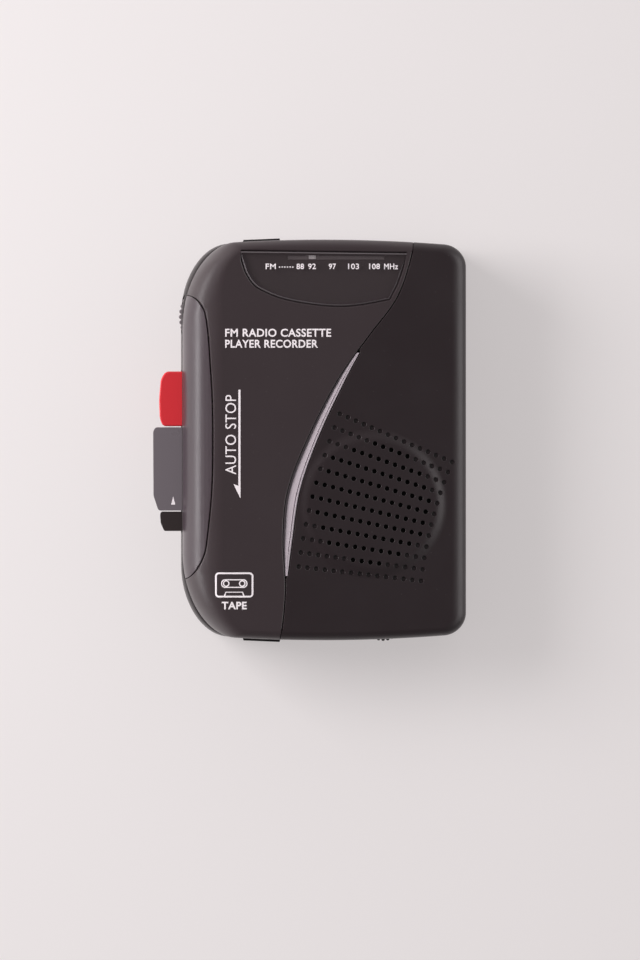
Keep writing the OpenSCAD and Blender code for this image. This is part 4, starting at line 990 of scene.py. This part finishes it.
TUNING_X, TUNING_Y, VOLUME_X, VOLUME_Y = LEFT + 9.9, END - 22, MIDDLE + 17.3, 6 - END
tuning = joined(toothed(TUNING_X, TUNING_Y, 10.5, 40),
                turned(TUNING_X, TUNING_Y, [(1.5, WHEEL_HIGH - 0.2), (1.5, 25.5)], 32),
                turned(TUNING_X, TUNING_Y, [(5.3, 25.4), (5.4, 25.5), (5.4, 25.7), (5.3, 25.8),
                                            (5.3, 26.3), (5.4, 26.4), (5.4, 26.5), (5.3, 26.6)]))
dress(to_object("tuning_thumbwheel", tuning), "tuning", wheel_grey, ["tuning_wheel"])
volume = joined(toothed(VOLUME_X, VOLUME_Y, 6.4, 28),
                turned(VOLUME_X, VOLUME_Y, [(1.5, WHEEL_HIGH - 0.2), (1.5, 23.0)], 32))
dress(to_object("volume_thumbwheel", volume), "volume", wheel_black,
      ["volume_wheel"])

KNOB_X, KNOB_Y, KNOB_RIB, KNOB_PITCH = MIDDLE - 10, bowed(MIDDLE - 10, END), 0.25, 0.95
knob = joined(block((KNOB_X - 2, KNOB_X + 2), (KNOB_Y - 4.4, KNOB_Y - 0.55), (16.0, 18.8), 0.25),
              *[block((KNOB_X + k * KNOB_PITCH - KNOB_RIB, KNOB_X + k * KNOB_PITCH + KNOB_RIB),
                      (KNOB_Y - 0.8, KNOB_Y - 0.3), (16.2, 18.6), 0.12, 2)
                for k in (-1.5, -0.5, 0.5, 1.5)])
dress(to_object("function_slider", knob), "function", wheel_black,
      ["function_knob"])

# Sockets and microphone: black moulded sockets with a bright contact ring, and an electret capsule
# behind a small hole. The end walls carry small white words beside each control.
socket_black = moulded_plastic("socket_black", (0.014, 0.012, 0.013), 0.4, 0.2, 0.4, 0.3)

metal_wear, wear_in, wear_out = make_group(
    "metal_wear", [("Streaks per metre", 900.0), ("Stretch", 12.0), ("Roughness", 0.35), ("Spread", 0.18)],
    [("Roughness", "NodeSocketFloat"), ("Tone", "NodeSocketFloat"), ("Height", "NodeSocketFloat")])
wear_place = metal_wear.nodes.new("ShaderNodeTexCoord")
wear_stretch = metal_wear.nodes.new("ShaderNodeCombineXYZ")
wear_stretch.inputs["Y"].default_value = 1.0
wear_stretch.inputs["Z"].default_value = 1.0
metal_wear.links.new(wear_in.outputs["Stretch"], wear_stretch.inputs["X"])
wear_scaled = metal_wear.nodes.new("ShaderNodeVectorMath")
wear_scaled.operation = "MULTIPLY"
metal_wear.links.new(wear_place.outputs["Object"], wear_scaled.inputs[0])
metal_wear.links.new(wear_stretch.outputs[0], wear_scaled.inputs[1])
wear_noise = metal_wear.nodes.new("ShaderNodeTexNoise")
wear_noise.inputs["Detail"].default_value = 4.0
metal_wear.links.new(wear_scaled.outputs[0], wear_noise.inputs["Vector"])
metal_wear.links.new(wear_in.outputs["Streaks per metre"], wear_noise.inputs["Scale"])
wear_centre = metal_wear.nodes.new("ShaderNodeMath")
wear_centre.operation = "SUBTRACT"
wear_centre.inputs[1].default_value = 0.5
metal_wear.links.new(wear_noise.outputs["Fac"], wear_centre.inputs[0])
wear_rough = metal_wear.nodes.new("ShaderNodeMath")
wear_rough.operation = "MULTIPLY_ADD"
metal_wear.links.new(wear_centre.outputs[0], wear_rough.inputs[0])
metal_wear.links.new(wear_in.outputs["Spread"], wear_rough.inputs[1])
metal_wear.links.new(wear_in.outputs["Roughness"], wear_rough.inputs[2])
metal_wear.links.new(wear_rough.outputs[0], wear_out.inputs["Roughness"])
metal_wear.links.new(wear_noise.outputs["Fac"], wear_out.inputs["Tone"])
metal_wear.links.new(wear_noise.outputs["Fac"], wear_out.inputs["Height"])


def worked_metal(name, colour, roughness, streaks=900.0, stretch=12.0, spread=0.25, metallic=1.0):
    """Bare metal, drawn or turned, its tone and gloss varying along fine streaks."""
    shader = bpy.data.materials.new(name)
    shader.use_nodes = True
    tree = shader.node_tree
    finish = tree.nodes["Principled BSDF"]
    finish.inputs["Metallic"].default_value = metallic
    wear = tree.nodes.new("ShaderNodeGroup")
    wear.node_tree = metal_wear
    wear.inputs["Streaks per metre"].default_value = streaks
    wear.inputs["Stretch"].default_value = stretch
    wear.inputs["Roughness"].default_value = roughness
    wear.inputs["Spread"].default_value = spread
    tree.links.new(wear.outputs["Roughness"], finish.inputs["Roughness"])
    tone = tree.nodes.new("ShaderNodeMix")
    tone.data_type = "RGBA"
    tone.inputs["A"].default_value = (*[c * 0.78 for c in colour], 1)
    tone.inputs["B"].default_value = (*[min(1.0, c * 1.12) for c in colour], 1)
    tree.links.new(wear.outputs["Tone"], tone.inputs["Factor"])
    tree.links.new(tone.outputs["Result"], finish.inputs["Base Color"])
    bump = tree.nodes.new("ShaderNodeBump")
    bump.inputs["Strength"].default_value = 0.15
    bump.inputs["Distance"].default_value = 0.00004
    tree.links.new(wear.outputs["Height"], bump.inputs["Height"])
    tree.links.new(bump.outputs["Normal"], finish.inputs["Normal"])
    return shader


plated_steel = worked_metal("plated_steel", (0.56, 0.55, 0.54), 0.34)
bright_steel = worked_metal("bright_steel", (0.68, 0.68, 0.69), 0.18, 1500.0, 3.0, 0.12)
turned_brass = worked_metal("turned_brass", (0.66, 0.47, 0.21), 0.28, 1800.0, 1.0, 0.15)

from_cad("headphone_socket", "headphone_jack", "housing", socket_black)
from_cad("power_socket", "power_jack", "housing", socket_black)
from_cad("microphone_capsule", "microphone", "housing", plated_steel)

SOCKET_Z, RING_R, RING_STEPS = 17.4, 2.35, 40


def end_ring(name, x, side, inner):
    """A thin metal ring let into a socket's mouth, on the end wall at x."""
    face = bowed(x, END) * side
    turns = [2 * math.pi * i / RING_STEPS for i in range(RING_STEPS)]
    levels = []
    for r, depth in ((RING_R, 0.6), (RING_R, 0.12), (RING_R - 0.12, 0.02), (inner + 0.1, 0.02),
                     (inner, 0.12), (inner, 0.6)):
        levels.append([(x + r * math.cos(t), face - side * depth, SOCKET_Z + r * math.sin(t))
                       for t in turns])
    return dress(to_object(name, ring_piece(levels)), "housing", bright_steel, sharp=40)


end_ring("headphone_ring", MIDDLE + 10, 1, 1.85)
end_ring("power_ring", MIDDLE - 4, -1, 1.80)
WORD_HIGH, WORD_FOOT, WORD_WEIGHT = 1.2, 16.8, 0.02


def print_on_end(name, text, x, side, length, z=WORD_FOOT):
    """Words on the flat end wall, read from outside."""
    sheet = words(text, (0, 0), (length, WORD_HIGH), 0, WORD_WEIGHT)
    bmesh.ops.solidify(sheet, geom=sheet.faces[:], thickness=-INK_T)
    low = min(v.co.z for v in sheet.verts)
    for v in sheet.verts:
        across = x - side * (v.co.x - length / 2)
        v.co = (across, side * (bowed(across, END) - INK_SUNK + v.co.z - low), z + v.co.y)
    bmesh.ops.recalc_face_normals(sheet, faces=sheet.faces)
    return dress(to_object(name, sheet), "housing", ink_white)


print_on_end("phones_word", "PHONES", MIDDLE + 17.5, 1, 6.6)
print_on_end("radio_word", "RADIO", KNOB_X + 9.4, 1, 5.2)
print_on_end("tape_word", "TAPE", KNOB_X - 6.2, 1, 4.2)
print_on_end("mic_word", "MIC", MIDDLE - 25.4, 1, 2.6, WORD_FOOT + 0.4)
print_on_end("power_word", "DC 3V", MIDDLE - 11.5, -1, 5.4)
print_on_end("volume_word", "VOLUME", VOLUME_X - 10.6, -1, 7.0)

# Dial works: a white pointer on a thin cord, which runs round two pulleys and the wheel's drum.
# The tuning capacitor and the volume control are moulded blocks under the board.
pale_abs = moulded_plastic("pale_abs", (0.78, 0.75, 0.74), 0.42, 0.1, 0.4, 0.3)
cord_cream = moulded_plastic("cord_cream", (0.50, 0.46, 0.36), 0.8, 1.0, 0.3, 0.4)
phenolic_brown = moulded_plastic("phenolic_brown", (0.23, 0.115, 0.05), 0.5, 0.5, 0.5, 0.3)
pulley_grey = moulded_plastic("pulley_grey", (0.22, 0.20, 0.21), 0.4)
NEEDLE_X, RAIL_Z, STEM_Y = MIDDLE - 3.1, DIAL_PLATE_TOP - 2.6, SLOT_Y + SLOT_W / 2 - 0.24
needle = joined(block((NEEDLE_X - 1, NEEDLE_X + 1), (SLOT_Y - 0.6, SLOT_Y + 0.6),
                      (STRIP_TOP + 0.05, DIAL_PLATE_TOP + 0.1), 0.05, 2),
                block((NEEDLE_X - 0.8, NEEDLE_X + 0.8), (STEM_Y - 0.05, STEM_Y + 0.1),
                      (RAIL_Z - 0.1, DIAL_PLATE_TOP - 0.2)),
                block((NEEDLE_X - 2, NEEDLE_X + 2), (SLOT_Y - 2, SLOT_Y + 1.4),
                      (RAIL_Z - 0.6, RAIL_Z), 0.12, 2))
dress(to_object("dial_needle", needle), "pointer", ink_white, ["dial_pointer"])
from_cad("dial_line", "dial_cord", "housing", cord_cream, 0.15)
from_cad("cord_pulleys", "dial_pulleys", "housing", pulley_grey)
from_cad("tuner_block", "tuning_capacitor", "housing", pale_abs, 0.3)
from_cad("volume_control", "volume_pot", "housing", phenolic_brown, 0.2)
from_cad("slide_switch", "function_switch", "housing", plated_steel, 0.15)

# Circuit board: green lacquered laminate with copper tracks and tinned pads. Black packages and
# small round parts stand on it.
board_green = bpy.data.materials.new("board_lacquer")
board_green.use_nodes = True
board_tree = board_green.node_tree
board_finish = board_tree.nodes["Principled BSDF"]
board_finish.inputs["Roughness"].default_value = 0.3
board_place = board_tree.nodes.new("ShaderNodeTexCoord")
board_tracks = board_tree.nodes.new("ShaderNodeTexBrick")
board_tracks.inputs["Scale"].default_value = 260.0
board_tracks.inputs["Mortar Size"].default_value = 0.045
board_tracks.inputs["Color1"].default_value = (0.030, 0.085, 0.030, 1)
board_tracks.inputs["Color2"].default_value = (0.036, 0.100, 0.034, 1)
board_tracks.inputs["Mortar"].default_value = (0.085, 0.190, 0.060, 1)
board_tree.links.new(board_place.outputs["Object"], board_tracks.inputs["Vector"])
board_pads = board_tree.nodes.new("ShaderNodeTexVoronoi")
board_pads.inputs["Scale"].default_value = 230.0
board_tree.links.new(board_place.outputs["Object"], board_pads.inputs["Vector"])
board_solder = board_tree.nodes.new("ShaderNodeMapRange")
board_solder.inputs["From Min"].default_value = 0.20
board_solder.inputs["From Max"].default_value = 0.17
board_tree.links.new(board_pads.outputs["Distance"], board_solder.inputs["Value"])
board_mix = board_tree.nodes.new("ShaderNodeMix")
board_mix.data_type = "RGBA"
board_mix.inputs["B"].default_value = (0.55, 0.54, 0.50, 1)
board_tree.links.new(board_solder.outputs[0], board_mix.inputs["Factor"])
board_tree.links.new(board_tracks.outputs["Color"], board_mix.inputs["A"])
board_tree.links.new(board_mix.outputs["Result"], board_finish.inputs["Base Color"])
board_tree.links.new(board_solder.outputs[0], board_finish.inputs["Metallic"])
from_cad("board_laminate", "circuit_board", "housing", board_green)
from_cad("board_components", "board_parts", "housing", socket_black, 0.2)

# Loudspeaker: a pressed steel frame holds a black paper cone and a ferrite magnet, and black cloth
# lies between the cone and the drilled panel.
cone_paper = moulded_plastic("cone_paper", (0.060, 0.055, 0.058), 0.85, 1.0, 0.3, 0.2, per_metre=1600.0)
ferrite = moulded_plastic("ferrite", (0.085, 0.083, 0.088), 0.62, 1.0, 0.4, 0.2, per_metre=2600.0)
weave_cloth = bpy.data.materials.new("weave_cloth")
weave_cloth.use_nodes = True
weave_tree = weave_cloth.node_tree
weave_finish = weave_tree.nodes["Principled BSDF"]
weave_finish.inputs["Roughness"].default_value = 0.95
weave_place = weave_tree.nodes.new("ShaderNodeTexCoord")
weave_lines = []
for direction in ("X", "Y"):
    thread = weave_tree.nodes.new("ShaderNodeTexWave")
    thread.bands_direction = direction
    thread.inputs["Scale"].default_value = 900.0
    weave_tree.links.new(weave_place.outputs["Object"], thread.inputs["Vector"])
    weave_lines.append(thread)
weave_cross = weave_tree.nodes.new("ShaderNodeMath")
weave_cross.operation = "MULTIPLY"
for i, thread in enumerate(weave_lines):
    weave_tree.links.new(thread.outputs["Fac"], weave_cross.inputs[i])
weave_tint = weave_tree.nodes.new("ShaderNodeMix")
weave_tint.data_type = "RGBA"
weave_tint.inputs["A"].default_value = (0.004, 0.004, 0.004, 1)
weave_tint.inputs["B"].default_value = (0.020, 0.018, 0.018, 1)
weave_tree.links.new(weave_cross.outputs[0], weave_tint.inputs["Factor"])
weave_tree.links.new(weave_tint.outputs["Result"], weave_finish.inputs["Base Color"])
from_cad("speaker_basket", "speaker_frame", "housing", plated_steel)
from_cad("paper_cone", "speaker_cone", "housing", cone_paper)
from_cad("ferrite_magnet", "speaker_magnet", "housing", ferrite, 0.3)
from_cad("speaker_cloth", "grille_cloth", "housing", weave_cloth)

# Battery bay: a black tray, nickel contacts and a coiled spring hold two cells in a row. Each cell
# has a plain printed jacket with a copper band at its plus end.
tray_black = moulded_plastic("tray_black", (0.024, 0.021, 0.022), 0.45)
cell_jacket = bpy.data.materials.new("cell_jacket")
cell_jacket.use_nodes = True
jacket_tree = cell_jacket.node_tree
jacket_finish = jacket_tree.nodes["Principled BSDF"]
jacket_finish.inputs["Metallic"].default_value = 0.75
jacket_place = jacket_tree.nodes.new("ShaderNodeTexCoord")
jacket_split = jacket_tree.nodes.new("ShaderNodeSeparateXYZ")
jacket_tree.links.new(jacket_place.outputs["Object"], jacket_split.inputs[0])
CELL_PITCH, CELL_START = 0.050, 0.0492
jacket_shift = jacket_tree.nodes.new("ShaderNodeMath")
jacket_shift.operation = "ADD"
jacket_shift.inputs[1].default_value = CELL_START
jacket_tree.links.new(jacket_split.outputs["Y"], jacket_shift.inputs[0])
jacket_along = jacket_tree.nodes.new("ShaderNodeMath")
jacket_along.operation = "FLOORED_MODULO"
jacket_along.inputs[1].default_value = CELL_PITCH
jacket_tree.links.new(jacket_shift.outputs[0], jacket_along.inputs[0])
jacket_share = jacket_tree.nodes.new("ShaderNodeMath")
jacket_share.operation = "DIVIDE"
jacket_share.inputs[1].default_value = CELL_PITCH
jacket_tree.links.new(jacket_along.outputs[0], jacket_share.inputs[0])
jacket_bands = jacket_tree.nodes.new("ShaderNodeValToRGB")
jacket_bands.color_ramp.interpolation = "CONSTANT"
cell_bands = [(0.0, (0.60, 0.60, 0.61)), (0.03, (0.035, 0.04, 0.055)), (0.68, (0.62, 0.60, 0.56)),
              (0.695, (0.50, 0.24, 0.10)), (0.955, (0.62, 0.61, 0.60))]
while len(jacket_bands.color_ramp.elements) < len(cell_bands):
    jacket_bands.color_ramp.elements.new(0.5)
for stop, (place, colour) in zip(jacket_bands.color_ramp.elements, cell_bands):
    stop.position = place
    stop.color = (*colour, 1)
jacket_tree.links.new(jacket_share.outputs[0], jacket_bands.inputs["Fac"])
jacket_tree.links.new(jacket_bands.outputs["Color"], jacket_finish.inputs["Base Color"])
jacket_wear = jacket_tree.nodes.new("ShaderNodeGroup")
jacket_wear.node_tree = metal_wear
jacket_wear.inputs["Roughness"].default_value = 0.26
jacket_tree.links.new(jacket_wear.outputs["Roughness"], jacket_finish.inputs["Roughness"])
from_cad("bay_tray", "battery_tray", "housing", tray_black, 0.15)
from_cad("dry_cells", "battery_cells", "housing", cell_jacket, 0.25)
from_cad("cell_contacts", "battery_contacts", "housing", bright_steel)
from_cad("cell_spring", "battery_spring", "housing", bright_steel)

# Tape mechanism: levers, plates and brackets are pressed from plated steel, the flywheel is turned
# brass, and the reel parts are pale plastic. Rubber drives the tape and the reels.
black_rubber = moulded_plastic("black_rubber", (0.018, 0.017, 0.017), 0.75, 0.6, 0.3, 0.4)
head_black = moulded_plastic("head_black", (0.030, 0.029, 0.031), 0.4)
steel_pieces = [
    ("hinge_pin", "door_hinge_pin", "housing"), ("cassette_leaf_springs", "cassette_springs", "door"),
    ("record_arm", "record_lever", "record"), ("play_arm", "play_lever", "play"),
    ("stop_arm", "stop_lever", "stop"), ("latch_bar", "lock_bar", "stop"),
    ("return_springs", "key_springs", "housing"), ("works_plate", "mechanism_plate", "housing"),
    ("head_carrier", "head_plate", "heads"), ("roller_bracket", "pinch_bracket", "heads"),
    ("motor_mount", "motor_bracket", "housing")]
for name, node, body in steel_pieces:
    from_cad(name, node, body, plated_steel)
other_pieces = [
    ("play_record_head", "tape_head", "heads", bright_steel, "polished_steel", 0.2),
    ("eraser_head", "erase_head", "heads", head_black, "inner_plastic", 0.3),
    ("rubber_roller", "pinch_roller", "pinch", black_rubber, "rubber", 0.2),
    ("brass_flywheel", "flywheel", "capstan_drive", turned_brass, "brass", 0.0),
    ("capstan_shaft", "capstan", "capstan_drive", bright_steel, "polished_steel", 0.0),
    ("shaft_bearing", "capstan_bearing", "housing", turned_brass, "brass", 0.15),
    ("idler_tyre", "idler_wheel", "idler", black_rubber, "rubber", 0.1),
    ("motor_can", "motor", "housing", bright_steel, "polished_steel", 0.0),
    ("belt_pulley", "motor_pulley", "motor_drive", turned_brass, "brass", 0.0),
    ("flat_belt", "drive_belt", "housing", black_rubber, "rubber", 0.0),
    ("takeup_reel_hub", "takeup_spindle", "takeup", pale_abs, "pale_plastic", 0.12),
    ("takeup_gear_disc", "takeup_disc", "takeup", pale_abs, "pale_plastic", 0.15),
    ("supply_reel_hub", "supply_spindle", "supply", pale_abs, "pale_plastic", 0.12)]
for name, node, body, shader, slot, rounding in other_pieces:
    from_cad(name, node, body, shader, rounding)

# Screws: plated steel screws under the cassette hold the fascia, the speaker panel and the
# mechanism plate. Their low round heads have softened rims.
from_cad("cross_head_screws", "cabinet_screws", "housing", bright_steel, 0.25)
